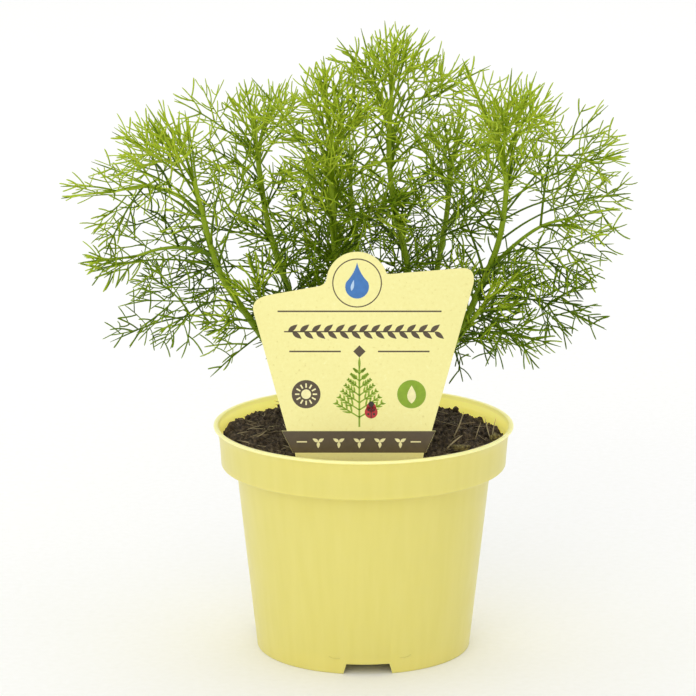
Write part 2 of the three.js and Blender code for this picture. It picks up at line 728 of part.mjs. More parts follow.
const YELLOW_PLASTIC = new THREE.MeshStandardMaterial({ color: "#e6da80", roughness: 0.42, metalness: 0 });
const DARK_COMPOST = new THREE.MeshStandardMaterial({ color: "#3a3024", roughness: 0.98, metalness: 0 });
const PRINTED_CARD = new THREE.MeshStandardMaterial({ color: "#f3ec9c", roughness: 0.55, metalness: 0 });
const LEAF_GREEN = new THREE.MeshStandardMaterial({ color: "#6f9a2c", roughness: 0.6, metalness: 0 });

function named(name, solid, material) {
  const mesh = new THREE.Mesh(geometryFromSolid(solid), material);
  mesh.name = name;
  return mesh;
}

const plant = new THREE.Group();
plant.add(named("pot", potSolid(), YELLOW_PLASTIC));
plant.add(named("soil", soilSolid(), DARK_COMPOST));
plant.add(named("label", labelSolid(), PRINTED_CARD));
const leaves = planLeaves();
SHOOTS.forEach((shoot, index) => {
  plant.add(named(shoot.name, shootSolid(shoot, leaves[index]), LEAF_GREEN));
});

const box = new THREE.Box3().setFromObject(plant, true);
plant.position.set(-(box.min.x + box.max.x) / 2, -(box.min.y + box.max.y) / 2, 0);

export default plant;
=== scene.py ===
# Potted southernwood in a pale yellow plastic pot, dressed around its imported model. Metres, +Z up.

import math

import bpy
import numpy as np
from mathutils import Matrix, Vector, noise


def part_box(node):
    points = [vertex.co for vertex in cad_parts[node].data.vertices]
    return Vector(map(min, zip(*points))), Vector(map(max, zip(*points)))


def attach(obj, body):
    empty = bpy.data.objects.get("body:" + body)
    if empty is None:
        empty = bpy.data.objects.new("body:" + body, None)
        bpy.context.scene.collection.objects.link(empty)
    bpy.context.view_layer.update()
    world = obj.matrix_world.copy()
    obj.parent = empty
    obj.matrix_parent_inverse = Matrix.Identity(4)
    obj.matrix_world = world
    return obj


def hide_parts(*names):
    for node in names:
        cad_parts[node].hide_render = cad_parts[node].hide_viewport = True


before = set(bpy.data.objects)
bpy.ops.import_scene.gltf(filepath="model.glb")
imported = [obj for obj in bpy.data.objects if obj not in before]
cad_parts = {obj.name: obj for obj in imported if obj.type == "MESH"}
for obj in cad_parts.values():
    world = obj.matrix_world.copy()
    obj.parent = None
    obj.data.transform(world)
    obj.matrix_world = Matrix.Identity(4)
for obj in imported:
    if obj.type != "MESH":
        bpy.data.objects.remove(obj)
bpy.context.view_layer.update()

# Pot
# A thin-walled herb pot, injection-moulded in one shot of pale yellow polypropylene: tapered body, deep rim
# band whose lip turns out, foot ring with three drainage notches, and a raised floor with drain holes.

MM = 0.001
POT_LOW, POT_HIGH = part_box("pot")
AXIS = Vector(((POT_LOW.x + POT_HIGH.x) / 2, (POT_LOW.y + POT_HIGH.y) / 2, 0))
RING_STEPS = 192
WALL = 1.2
SHOULDER = 75.0  # underside of the rim band
SOIL_LEDGE = 82.0  # the rim's inside shows above it
POT_HEIGHT = 91.5
LIP_UNDERSIDE = 90.4
DRAIN_RADIUS = 5.0  # of the hole in the middle of the floor
FLOOR_TOP, FLOOR_UNDERSIDE = 6.0, 4.8
FOOT_RADIUS = 42.9
TAPER = 0.108  # millimetres that the wall leans out for each millimetre of height
SMOOTH_ANGLE = math.radians(38)


def inner_radius(height):
    """Radius of the pot's inside at a height in millimetres, below and above the ledge of the band."""
    if height < SHOULDER + WALL:
        return FOOT_RADIUS - WALL + TAPER * height
    return 55.8 + (height - SHOULDER - WALL) / (POT_HEIGHT - SHOULDER - WALL)


def arc(radius, height, size, start, end, steps=5):
    """Points of a rounded corner in the pot's section: centre, size, and first and last angle in degrees."""
    angles = [math.radians(start + (end - start) * step / steps) for step in range(steps + 1)]
    return [(radius + size * math.cos(angle), height + size * math.sin(angle)) for angle in angles]


POT_PROFILE = [
    (DRAIN_RADIUS, FLOOR_UNDERSIDE), (40.3, FLOOR_UNDERSIDE), *arc(40.3, 4.2, 0.6, 90, 0, 3),
    (40.9, 0.5), *arc(41.3, 0.4, 0.4, 180, 270, 3), *arc(42.4, 0.5, 0.5, 270, 360, 4),
    (46.9, 37.0), (50.2, 67.5), (50.6, 71.0), (51.1, 73.2), (51.9, 74.5), (53.2, 75.0),
    *arc(56.0, 76.0, 1.0, 270, 356, 6), (57.4, 82.0), (57.8, 86.4), (58.3, 88.3), (58.9, 89.6), (59.4, 90.3),
    *arc(59.5, 91.0, 0.5, -30, 90, 6), *arc(58.6, 91.0, 0.5, 90, 190, 5),
    (57.7, 89.9), (57.0, 88.2), (56.6, 86.6),
    (inner_radius(84), 84), (inner_radius(77.6), 77.6), *arc(54.9, 77.2, 1.0, 0, -90, 4),
    (51.6, 76.2), *arc(51.1, 74.9, 1.3, 90, 180, 4), (inner_radius(40), 40),
    (inner_radius(7.5), 7.5), *arc(41.0, 7.5, 1.5, 0, -90, 4), (DRAIN_RADIUS, FLOOR_TOP),
]


def deselect():
    bpy.ops.object.select_all(action="DESELECT")


def take_up(piece):
    """Selects one piece alone and makes it the active one."""
    deselect()
    piece.select_set(True)
    bpy.context.view_layer.objects.active = piece


def edit_all():
    """Opens the active piece in edit mode, with all of it selected."""
    bpy.ops.object.mode_set(mode="EDIT")
    bpy.ops.mesh.select_all(action="SELECT")


def face_out():
    """Turns the selected faces outwards and leaves edit mode."""
    bpy.ops.mesh.normals_make_consistent(inside=False)
    bpy.ops.object.mode_set(mode="OBJECT")


def place_in_mesh(piece):
    """Moves a piece's place, turn and size into its mesh, so that its object sits at the origin."""
    take_up(piece)
    bpy.ops.object.transform_apply(location=True, rotation=True, scale=True)


def apply_modifier(piece, kind, **settings):
    """Adds a modifier with its settings and applies it."""
    take_up(piece)
    modifier = piece.modifiers.new(kind.title(), kind)
    for name, value in settings.items():
        setattr(modifier, name, value)
    bpy.ops.object.modifier_apply(modifier=modifier.name)


def cut_with(piece, cutters):
    """Takes the cutters' shapes out of a piece and removes them."""
    for cutter in cutters:
        apply_modifier(piece, "BOOLEAN", object=cutter, operation="DIFFERENCE", solver="EXACT")
        bpy.data.objects.remove(cutter)


def start_ring(name, steps, radius, height):
    """A ring of edges round the pot's axis, opened in edit mode with all of it selected."""
    deselect()
    bpy.ops.mesh.primitive_circle_add(
        vertices=steps, radius=radius * MM, fill_type="NOTHING", location=(AXIS.x, AXIS.y, height * MM)
    )
    bpy.context.object.name = name
    edit_all()
    return bpy.context.object


def extrude_rings(rings):
    """Extrudes the selected ring, which is the first, through all the others: radius and height of each."""
    for (radius, height), (next_radius, next_height) in zip(rings, rings[1:]):
        rise = (0, 0, (next_height - height) * MM)
        growth = next_radius / radius
        bpy.ops.mesh.extrude_edges_move(TRANSFORM_OT_translate={"value": rise})
        bpy.ops.transform.resize(
            value=(growth, growth, 1), center_override=(AXIS.x, AXIS.y, next_height * MM)
        )


pot = start_ring("pot_shell", RING_STEPS, *POT_PROFILE[0])
extrude_rings(POT_PROFILE)
bpy.ops.mesh.select_all(action="DESELECT")
bpy.ops.mesh.select_non_manifold()
bpy.ops.mesh.bridge_edge_loops()
bpy.ops.mesh.select_all(action="SELECT")
bpy.ops.mesh.remove_doubles(threshold=0.01 * MM)
face_out()
place_in_mesh(pot)

# The notches are trapezoids, a little wider at the table, and the drain holes ring the centre one.
NOTCH_HEIGHT = 4.3
NOTCH_TOP, NOTCH_BOTTOM = 17.0, 20.0
NOTCH_DEPTH = 14.0
NOTCH_TURNS = (2.2, 122.2, 242.2)
DRAIN_HOLES = 6
DRAIN_RING = 27
DRAIN_HOLE_RADIUS = 4
cutters = []
for turn in NOTCH_TURNS:
    deselect()
    middle = AXIS + Vector((0, -FOOT_RADIUS * MM, NOTCH_HEIGHT / 2 * MM))
    bpy.ops.mesh.primitive_cube_add(size=1, location=middle)
    notch = bpy.context.object
    notch.scale = (NOTCH_BOTTOM * MM, NOTCH_DEPTH * MM, NOTCH_HEIGHT * MM)
    place_in_mesh(notch)
    for corner in notch.data.vertices:
        if corner.co.z > middle.z:
            corner.co.x = AXIS.x + (corner.co.x - AXIS.x) * NOTCH_TOP / NOTCH_BOTTOM
        else:
            corner.co.z -= 1 * MM
    spin = Matrix.Translation(AXIS) @ Matrix.Rotation(math.radians(turn), 4, "Z") @ Matrix.Translation(-AXIS)
    notch.data.transform(spin)
    cutters.append(notch)
for hole in range(DRAIN_HOLES):
    deselect()
    angle = (hole + 0.5) * 2 * math.pi / DRAIN_HOLES
    place = AXIS + Vector((DRAIN_RING * math.cos(angle), DRAIN_RING * math.sin(angle), 5.4)) * MM
    bpy.ops.mesh.primitive_cylinder_add(
        vertices=32, radius=DRAIN_HOLE_RADIUS * MM, depth=6 * MM, location=place
    )
    cutters.append(bpy.context.object)
cut_with(pot, cutters)
apply_modifier(pot, "BEVEL", width=0.25 * MM, segments=2, limit_method="ANGLE", angle_limit=math.radians(55))
deselect()
pot.select_set(True)
bpy.ops.object.shade_smooth_by_angle(angle=SMOOTH_ANGLE)

# Two small curved moulding marks stand on the foot, to either side of the front notch.
MARK_HEIGHT = 6.3
MARK_RADIUS = 0.22
MARK_SPAN = math.radians(6.2)
marks = []
for side, name in ((-1, "pot_mark_left"), (1, "pot_mark_right")):
    deselect()
    bpy.ops.mesh.primitive_cylinder_add(vertices=8, radius=MARK_RADIUS * MM, depth=1 * MM)
    mark = bpy.context.object
    mark.name = name
    edit_all()
    bpy.ops.mesh.bevel(offset=0.08 * MM, segments=1, affect="EDGES")
    for cut in range(-5, 6):
        bpy.ops.mesh.select_all(action="SELECT")
        bpy.ops.mesh.bisect(plane_co=(0, 0, cut * 0.08 * MM), plane_no=(0, 0, 1))
    bpy.ops.object.mode_set(mode="OBJECT")
    for point in mark.data.vertices:
        along = point.co.z / (0.5 * MM)
        angle = -math.pi / 2 + math.radians(3.4 + 18.8 * side) + along * MARK_SPAN / 2
        height = MARK_HEIGHT + 0.55 * along**2 + (0.35 * along if side > 0 else -0.15 * along)
        radius = (FOOT_RADIUS + TAPER * height) * MM + point.co.x
        out = Vector((radius * math.cos(angle), radius * math.sin(angle), height * MM + point.co.y))
        point.co = AXIS + out
    bpy.ops.object.shade_smooth()
    marks.append(mark)


def linear(hex_colour):
    """An sRGB hex colour as linear red, green, blue and alpha."""
    values = [int(hex_colour[place : place + 2], 16) / 255 for place in (1, 3, 5)]
    return tuple(v / 12.92 if v <= 0.04045 else ((v + 0.055) / 1.055) ** 2.4 for v in values) + (1.0,)


def add_node(material, kind, inputs=None, stops=None, **settings):
    """Adds a shader node with its settings, colour stops, and input values or links."""
    tree = material.node_tree
    node = tree.nodes.new(kind)
    for name, value in settings.items():
        setattr(node, name, value)
    for name, value in (inputs or {}).items():
        if isinstance(value, bpy.types.NodeSocket):
            tree.links.new(value, node.inputs[name])
        else:
            node.inputs[name].default_value = value
    if stops:
        elements = node.color_ramp.elements
        while len(elements) < len(stops):
            elements.new(0.5)
        for element, (position, colour) in zip(elements, stops):
            element.position = position
            element.color = linear(colour)
    return node


def start_material(name):
    material = bpy.data.materials.new(name)
    material.use_nodes = True
    material.node_tree.nodes.clear()
    return material


# Injection-moulded polypropylene, satin: an even pale yellow, with faint flow lines up the wall and a very
# fine grain that softens its reflections.
PLASTIC_YELLOW = "#e8dc7c"
PLASTIC_DEEPER = "#e5d976"
FLOW_LINES = 260.0  # across the object's width, about 4 mm apart
GRAIN = 1 / (0.5 * MM)
plastic = start_material("satin_polypropylene_pale_yellow")
place = add_node(plastic, "ShaderNodeTexCoord").outputs["Object"]
flow_place = add_node(plastic, "ShaderNodeMapping", {"Vector": place, "Scale": (1.0, 1.0, 0.04)}).outputs[0]
flow = add_node(plastic, "ShaderNodeTexNoise", {"Vector": flow_place, "Scale": FLOW_LINES, "Detail": 2.0})
tone = add_node(
    plastic, "ShaderNodeValToRGB", {"Fac": flow.outputs["Fac"]},
    stops=[(0.3, PLASTIC_DEEPER), (0.7, PLASTIC_YELLOW)],
)
grain = add_node(plastic, "ShaderNodeTexNoise", {"Vector": place, "Scale": GRAIN, "Detail": 2.0})
grain_bump = add_node(
    plastic, "ShaderNodeBump", {"Height": grain.outputs["Fac"], "Strength": 0.05, "Distance": 0.02 * MM}
)
scuffs = add_node(plastic, "ShaderNodeTexNoise", {"Vector": place, "Scale": 90.0, "Detail": 5.0})
gloss = add_node(
    plastic, "ShaderNodeMapRange",
    {"Value": scuffs.outputs["Fac"], "From Min": 0.3, "From Max": 0.7, "To Min": 0.3, "To Max": 0.4},
)
plastic_surface = add_node(
    plastic, "ShaderNodeBsdfPrincipled",
    {
        "Base Color": tone.outputs["Color"], "Roughness": gloss.outputs["Result"], "IOR": 1.49,
        "Subsurface Weight": 0.3, "Subsurface Radius": (1.0, 0.9, 0.5), "Subsurface Scale": 3 * MM,
        "Normal": grain_bump.outputs["Normal"],
    },
)
add_node(plastic, "ShaderNodeOutputMaterial", {"Surface": plastic_surface.outputs["BSDF"]})

# The rim's inside, above the compost: the same plastic, whose subsurface light really passes through the thin
# wall, with a brighter base colour and an emission glow that are painted light for more daylight from behind.
INSIDE_PAINTED_LIGHT_YELLOW = "#ffee94"
INSIDE_PAINTED_GLOW_YELLOW = "#ffe276"
# The lip's edge is thin all round; its paler base colour and its emission glow are painted light, which make
# it paler than the lighting alone does.
LIP_PAINTED_LIGHT_CREAM = "#f6e996"
LIP_PAINTED_GLOW = "#ffec9c"
painted_glow_plastics = []
# Each: its material's name, a base colour lighter than the plastic's and an emission colour, both painted
# light, and the glow's strength.
for name, colour, glow, strength in (
    ("translucent_polypropylene_pale_yellow", INSIDE_PAINTED_LIGHT_YELLOW, INSIDE_PAINTED_GLOW_YELLOW, 0.24),
    ("translucent_polypropylene_thin_edge", LIP_PAINTED_LIGHT_CREAM, LIP_PAINTED_GLOW, 0.16),
):
    thin = plastic.copy()
    thin.name = name
    painted_glow_surface = next(node for node in thin.node_tree.nodes if node.type == "BSDF_PRINCIPLED")
    thin.node_tree.links.remove(painted_glow_surface.inputs["Base Color"].links[0])
    for socket, value in (
        ("Base Color", linear(colour)), ("Subsurface Weight", 1.0), ("Subsurface Scale", 8 * MM),
        ("Emission Color", linear(glow)), ("Emission Strength", strength),
    ):
        painted_glow_surface.inputs[socket].default_value = value
    painted_glow_plastics.append(thin)

for piece in (pot, *marks):
    piece.data.materials.clear()
    piece.data.materials.append(plastic)
    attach(piece, "root")
for thin in painted_glow_plastics:
    pot.data.materials.append(thin)
# The lip's faces and the rim's inward faces above the compost take these copies, with their painted light and
# glow.
for face in pot.data.polygons:
    outward = (face.center - AXIS).xy
    if face.center.z > LIP_UNDERSIDE * MM:
        face.material_index = 2
    elif face.center.z > SOIL_LEDGE * MM and face.normal.xy.dot(outward) < -0.2 * outward.length:
        face.material_index = 1
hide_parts("pot")

# Potting compost
# Dark, fibrous peat compost, pressed in loosely: a crumbly top a few millimetres below the lip, with lumps,
# plant fibres, short dry stalks and one chip of bark on it.

SOIL_LEVEL = 86.0
SOIL_RINGS = 120
SOIL_SPOKES = 320
SOIL_FOOT = 6.6


def draws(seed):
    """Repeatable random numbers from 0 to 1: one seed always gives the same ones."""
    state = seed
    while True:
        state = state * 48271 % 2147483647
        yield state / 2147483647


def soil_height(x, y):
    """Height in millimetres of the compost's top: a low mound, lower on the right, with lumps and crumbs."""
    far = math.hypot(x, y) / 56.44
    lumps = math.sin(0.31 * x + 1.3) * math.cos(0.27 * y - 0.4) + 0.8 * math.sin(0.63 * x - 0.55 * y)
    crumbs = math.sin(1.7 * x + 2.1 * y) * math.cos(1.3 * x - 1.9 * y + 0.7)
    return SOIL_LEVEL + 2.2 * (1 - far * far) - 0.018 * x + 0.012 * y + 0.7 * lumps + 0.6 * crumbs


def fine_height(x, y):
    """The compost's top with its clods and finer crumbs, pressed down a little in front of the label."""
    spot = Vector((x, y, 0))
    pressed = 2.2 * min(max((-36 - y) / 5, 0), 1) * min(max((34 - abs(x)) / 8, 0), 1)
    clods = 1.4 * noise.noise(spot * 0.22) + 1.0 * noise.noise(spot * 0.5 + Vector((9, 3, 1)))
    fine = 0.55 * noise.noise(spot * 1.1) + 0.3 * noise.noise(spot * 2.3)
    return soil_height(x, y) + clods + fine - pressed


soil_profile = [
    (inner_radius(SOIL_FOOT) - 1.2, SOIL_FOOT), (inner_radius(8) - 0.3, 8.5), (inner_radius(74) - 0.3, 74),
    (inner_radius(74) - 0.3, 76.6), (inner_radius(77.5) - 1.3, 77.0), (inner_radius(78) - 0.3, 78.4),
    (inner_radius(84) - 0.15, 84),
]
top_rings = [
    (soil_profile[-1][0] * (SOIL_RINGS - ring) / SOIL_RINGS, SOIL_LEVEL) for ring in range(SOIL_RINGS)
]
soil = start_ring("compost", SOIL_SPOKES, *soil_profile[0])
bpy.ops.mesh.edge_face_add()
bpy.ops.mesh.select_all(action="SELECT")
extrude_rings(soil_profile + top_rings)
bpy.ops.mesh.merge(type="CENTER")
bpy.ops.mesh.select_all(action="SELECT")
face_out()
place_in_mesh(soil)
for point in soil.data.vertices:
    if point.co.z > (SOIL_LEVEL - 1) * MM:
        x, y = (point.co.x - AXIS.x) / MM, (point.co.y - AXIS.y) / MM
        point.co.z = fine_height(x, y) * MM
take_up(soil)
bpy.ops.object.shade_smooth()


def template_of(piece):
    """Takes a modelled piece's vertices and faces as arrays, and removes the piece."""
    points = np.array([point.co[:] for point in piece.data.vertices])
    faces = [tuple(face.vertices) for face in piece.data.polygons]
    bpy.data.objects.remove(piece)
    return points, faces


def joined_copies(name, groups):
    """One piece from groups of copies: each group is a template, its copies' points, and their ages."""
    firsts, corners, totals, points, ages = 0, [], [], [], []
    for (shape, faces), copies, values in groups:
        copies = np.asarray(copies)
        steps = firsts + np.arange(len(copies))[:, None] * len(shape)
        corners.append((np.concatenate(faces)[None] + steps).ravel())
        totals.append(np.tile([len(face) for face in faces], len(copies)))
        points.append(copies.reshape(-1, 3))
        ages.append(np.broadcast_to(np.reshape(values, (len(copies), -1)), copies.shape[:2]).ravel())
        firsts += len(copies) * len(shape)
    corners, totals, points, ages = (np.concatenate(rows) for rows in (corners, totals, points, ages))
    mesh = bpy.data.meshes.new(name)
    mesh.vertices.add(len(points))
    mesh.vertices.foreach_set("co", points.astype(np.float32).ravel())
    mesh.loops.add(len(corners))
    mesh.loops.foreach_set("vertex_index", corners.astype(np.int32))
    mesh.polygons.add(len(totals))
    mesh.polygons.foreach_set("loop_start", (np.cumsum(totals) - totals).astype(np.int32))
    mesh.polygons.foreach_set("use_smooth", np.ones(len(totals), bool))
    mesh.update(calc_edges=True)
    mesh.attributes.new("age", "FLOAT", "POINT").data.foreach_set("value", ages.astype(np.float32))
    piece = bpy.data.objects.new(name, mesh)
    bpy.context.scene.collection.objects.link(piece)
    return piece


def turn_matrix(random):
    """A random turn in space."""
    first, second, third = (
        Matrix.Rotation(next(random) * 2 * math.pi, 3, axis) for axis in ("Z", "X", "Y")
    )
    return np.array(first @ second @ third)


# Crumbs: one lump, modelled with a rough skin, and scattered in sizes from 0.8 to 3.4 mm.
deselect()
bpy.ops.mesh.primitive_uv_sphere_add(segments=9, ring_count=6, radius=1)
lump = bpy.context.object
for point in lump.data.vertices:
    point.co *= 1 + 0.55 * noise.noise(point.co * 1.7 + Vector((3, 1, 4)))
lump_shape = template_of(lump)
CRUMBS = 1100
CRUMB_REACH, INSIDE_WALL = 55.2, 55.6  # millimetres from the axis: the crumbs' middles, and the rim's inside
random = draws(71)
crumb_copies, crumb_tones = [], []
for _ in range(CRUMBS):
    far = CRUMB_REACH * math.sqrt(next(random))
    angle = 2 * math.pi * next(random)
    size = 0.4 + 1.3 * next(random) ** 3.0
    far = min(far, INSIDE_WALL - size)
    x, y = far * math.cos(angle), far * math.sin(angle)
    shape = lump_shape[0] * (1, 0.6 + 0.4 * next(random), 0.55 + 0.4 * next(random)) * size
    place = np.array((x, y, fine_height(x, y) + 0.25 * size))
    crumb_copies.append((shape @ turn_matrix(random) + place) * MM + np.array(AXIS))
    crumb_tones.append(next(random))
crumbs = joined_copies("compost_crumbs", [(lump_shape, crumb_copies, crumb_tones)])


def strand_template(sides, rings):
    """A straight strand from z = 0 to 1, of rings at heights with radii, to be bent along its copies."""
    deselect()
    bpy.ops.mesh.primitive_cone_add(
        vertices=sides, radius1=rings[0][1], radius2=rings[-1][1], depth=1, location=(0, 0, 0.5),
        end_fill_type="NGON",
    )
    strand = bpy.context.object
    place_in_mesh(strand)
    bpy.ops.object.mode_set(mode="EDIT")
    for at, _ in rings[1:-1]:
        bpy.ops.mesh.select_all(action="SELECT")
        bpy.ops.mesh.bisect(plane_co=(0, 0, at), plane_no=(0, 0, 1))
    bpy.ops.object.mode_set(mode="OBJECT")
    for point in strand.data.vertices:
        wide = np.interp(point.co.z, [at for at, _ in rings], [size for _, size in rings])
        reach = math.hypot(point.co.x, point.co.y)
        if reach > 1e-6:
            point.co.x *= wide / reach
            point.co.y *= wide / reach
    return template_of(strand)


def unit(vector):
    return vector / np.sqrt((vector * vector).sum(-1, keepdims=True))


def bent_copies(template, starts, headings, tops, longs, wides, thicks, bends, sways):
    """Copies of a strand along gently curved lines. Bend is towards the top side, sway is sideways."""
    across = np.cross(tops, headings)
    x, y, z = (template[0][None, :, axis, None] for axis in range(3))
    longs, wides, thicks, bends, sways = (
        np.asarray(values, float)[:, None, None] for values in (longs, wides, thicks, bends, sways)
    )
    line = headings[:, None] * z + tops[:, None] * bends * z**2 + across[:, None] * sways * z**2
    section = across[:, None] * x * wides / 2 + tops[:, None] * y * thicks / 2
    return starts[:, None] + line * longs + section


# Fibres: fine root and peat threads, 0.15 to 0.4 mm thick and 4 to 14 mm long, lying on the crumbs.
FIBRES = 800
FIBRE_REACH = 53
fibre_shape = strand_template(4, [(0, 0.6), (0.2, 1.0), (0.4, 0.9), (0.6, 1.0), (0.8, 0.8), (1, 0.2)])
random = draws(917)
rows = {key: [] for key in ("starts", "headings", "tops", "longs", "wides", "thicks", "bends", "sways")}
fibre_tones = []
while len(fibre_tones) < FIBRES:
    far = 54.0 * math.sqrt(next(random))
    angle = 2 * math.pi * next(random)
    x, y = far * math.cos(angle), far * math.sin(angle)
    long = 4 + 10 * next(random) ** 2
    way = 2 * math.pi * next(random)
    heading = unit(np.array((math.cos(way), math.sin(way), 0.5 * (next(random) - 0.35))))
    thick = 0.15 + 0.25 * next(random) ** 2
    bend, sway = -0.25 * next(random), 0.9 * (next(random) - 0.5)
    end_x, end_y = x + long * heading[0], y + long * heading[1]
    if math.hypot(end_x, end_y) > FIBRE_REACH or math.hypot(x, y) > FIBRE_REACH:
        continue
    rows["starts"].append((x, y, fine_height(x, y) + 0.3))
    rows["headings"].append(heading)
    rows["tops"].append(unit(np.cross(heading, np.cross((0, 0, 1), heading))))
    rows["longs"].append(long)
    rows["wides"].append(thick)
    rows["thicks"].append(thick)
    rows["bends"].append(bend)
    rows["sways"].append(sway)
    fibre_tones.append(next(random))
fibre_copies = bent_copies(fibre_shape, **{key: np.array(value) for key, value in rows.items()})
fibres = joined_copies("compost_fibres", [(fibre_shape, fibre_copies * MM + np.array(AXIS), fibre_tones)])

# Dry stalks that stick up by the label's right side: foot, tip and thickness in millimetres.
STALK_AGE = 0.9  # straw-coloured
STALKS = [
    ((50.5, -12.0, 87.5), (47.5, -9.0, 96.5), 0.45), ((50.8, -12.2, 87.5), (52.0, -10.0, 96.8), 0.4),
    ((36.0, -8.0, 88.0), (41.0, -6.5, 97.5), 0.6), ((44.5, -9.0, 87.5), (46.5, -8.0, 94.0), 0.4),
    ((33.0, -24.0, 87.5), (38.5, -20.0, 92.5), 0.7), ((-43.0, -10.0, 88.0), (-38.0, -14.0, 91.5), 0.5),
]
stalk_shape = strand_template(6, [(0, 1.0), (0.3, 0.9), (0.5, 1.15), (0.55, 0.9), (0.8, 0.7), (1, 0.15)])
feet = np.array([foot for foot, tip, thick in STALKS])
lines = np.array([tip for foot, tip, thick in STALKS]) - feet
stalk_headings = unit(lines)
stalk_tops = unit(np.cross(stalk_headings, (1.0, 0.2, 0.1)))
thick = [size for foot, tip, size in STALKS]
stalk_copies = bent_copies(
    stalk_shape, feet, stalk_headings, stalk_tops, np.sqrt((lines * lines).sum(1)), thick, thick,
    [0.1, -0.12, 0.08, 0.15, 0.05, 0.1], [0.08, 0.05, -0.1, 0.06, 0.1, -0.05],
)
stalks = joined_copies(
    "dry_stalks", [(stalk_shape, stalk_copies * MM + np.array(AXIS), [STALK_AGE] * len(STALKS))]
)

# A chip of yellowish bark and a mossy lump, right of the label: torn edges, lying half in the crumbs.
chips = []
for name, place, size, seed in (
    ("bark_chip", (38.2, -27.0, 88.6), (5.2, 2.6, 1.3), 5),
    ("mossy_lump", (52.2, -12.5, 88.9), (2.6, 3.4, 2.0), 9),
):
    deselect()
    bpy.ops.mesh.primitive_cube_add(size=1, location=(0, 0, 0))
    chip = bpy.context.object
    chip.name = name
    bpy.ops.object.mode_set(mode="EDIT")
    bpy.ops.mesh.subdivide(number_cuts=9, smoothness=0.6)
    bpy.ops.object.mode_set(mode="OBJECT")
    for point in chip.data.vertices:
        offset = Vector((seed, 2 * seed, 0))
        rough = 1 + 0.5 * noise.noise(point.co * 2.6 + offset) + 0.25 * noise.noise(point.co * 7 + offset)
        point.co *= rough
        point.co = Vector((point.co.x * size[0], point.co.y * size[1], point.co.z * size[2]))
    chip.data.transform(Matrix.Rotation(math.radians(24), 4, "Z") @ Matrix.Rotation(math.radians(8), 4, "Y"))
    chip.data.transform(Matrix.Translation(AXIS + Vector(place) * MM) @ Matrix.Scale(MM, 4))
    take_up(chip)
    bpy.ops.object.shade_smooth()
    chips.append(chip)

# Peat compost, damp and crumbly, quite matt: near-black brown with browner fibres. Crumbs about 1 mm.
CRUMB_SCALE = 1 / (1.6 * MM)
compost = start_material("damp_peat_compost")
place = add_node(compost, "ShaderNodeTexCoord").outputs["Object"]
mottle = add_node(
    compost, "ShaderNodeTexNoise", {"Vector": place, "Scale": CRUMB_SCALE, "Detail": 6.0, "Roughness": 0.65}
)
tone = add_node(
    compost, "ShaderNodeValToRGB", {"Fac": mottle.outputs["Fac"]},
    stops=[(0.32, "#1d1812"), (0.5, "#4a3d2e"), (0.64, "#786750"), (0.78, "#a39277")],
)
rough = add_node(
    compost, "ShaderNodeBump", {"Height": mottle.outputs["Fac"], "Strength": 0.9, "Distance": 0.6 * MM}
)
compost_surface = add_node(
    compost, "ShaderNodeBsdfPrincipled",
    {"Base Color": tone.outputs["Color"], "Roughness": 0.92, "Normal": rough.outputs["Normal"]},
)
add_node(compost, "ShaderNodeOutputMaterial", {"Surface": compost_surface.outputs["BSDF"]})

# Dry root and peat fibre: straw to dark brown, each strand with a tone of its own.
fibre = start_material("dry_peat_fibre")
age = add_node(fibre, "ShaderNodeAttribute", attribute_name="age").outputs["Fac"]
tone = add_node(
    fibre, "ShaderNodeValToRGB", {"Fac": age},
    stops=[(0.0, "#3a2f22"), (0.5, "#6e5d45"), (0.8, "#a4936f"), (1.0, "#c8b993")],
)
fibre_surface = add_node(
    fibre, "ShaderNodeBsdfPrincipled", {"Base Color": tone.outputs["Color"], "Roughness": 0.8}
)
add_node(fibre, "ShaderNodeOutputMaterial", {"Surface": fibre_surface.outputs["BSDF"]})

# Weathered bark: yellowish grey-brown, streaked along the grain, with a little moss.
bark = start_material("weathered_bark")
place = add_node(bark, "ShaderNodeTexCoord").outputs["Object"]
streaks = add_node(bark, "ShaderNodeTexNoise", {"Vector": place, "Scale": 1 / (1.1 * MM), "Detail": 5.0})
tone = add_node(
    bark, "ShaderNodeValToRGB", {"Fac": streaks.outputs["Fac"]},
    stops=[(0.3, "#3d3322"), (0.5, "#6e6238"), (0.7, "#a59a5c")],
)
rough = add_node(
    bark, "ShaderNodeBump", {"Height": streaks.outputs["Fac"], "Strength": 0.8, "Distance": 0.5 * MM}
)
bark_surface = add_node(
    bark, "ShaderNodeBsdfPrincipled",
    {"Base Color": tone.outputs["Color"], "Roughness": 0.85, "Normal": rough.outputs["Normal"]},
)
add_node(bark, "ShaderNodeOutputMaterial", {"Surface": bark_surface.outputs["BSDF"]})

for piece, material in (
    (soil, compost), (crumbs, compost), (fibres, fibre), (stalks, fibre), (chips[0], bark), (chips[1], bark)
):
    piece.data.materials.append(material)
    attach(piece, "root")
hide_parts("soil")

# Plant label
# A stiff tag die-cut from 0.7 mm pale yellow plastic card, with a round head on its top edge and a foot band
# a little wider than the card. It is printed in brown, green, blue and red, and its stake stands in the soil.

CARD_THICK = 0.7
CARD_EDGE = 0.08
INK_THICK = 0.02
LABEL_FRONT = -41  # where its face crosses the level of the compost
LABEL_LEVEL = 86
LABEL_LEAN = 3  # degrees, backwards
LABEL_PLACE = (
    Matrix.Translation(AXIS + Vector((0, LABEL_FRONT, LABEL_LEVEL)) * MM)
    @ Matrix.Rotation(math.radians(90 - LABEL_LEAN), 4, "X")
    @ Matrix.Translation(Vector((0, -LABEL_LEVEL, 0)) * MM)
)


def curve_between(start, control, end, steps=10):
    """Points of a rounded corner, without its first."""
    shares = [step / steps for step in range(1, steps + 1)]
    return [
        tuple((1 - t) ** 2 * a + 2 * t * (1 - t) * b + t * t * c for a, b, c in zip(start, control, end))
        for t in shares
    ]


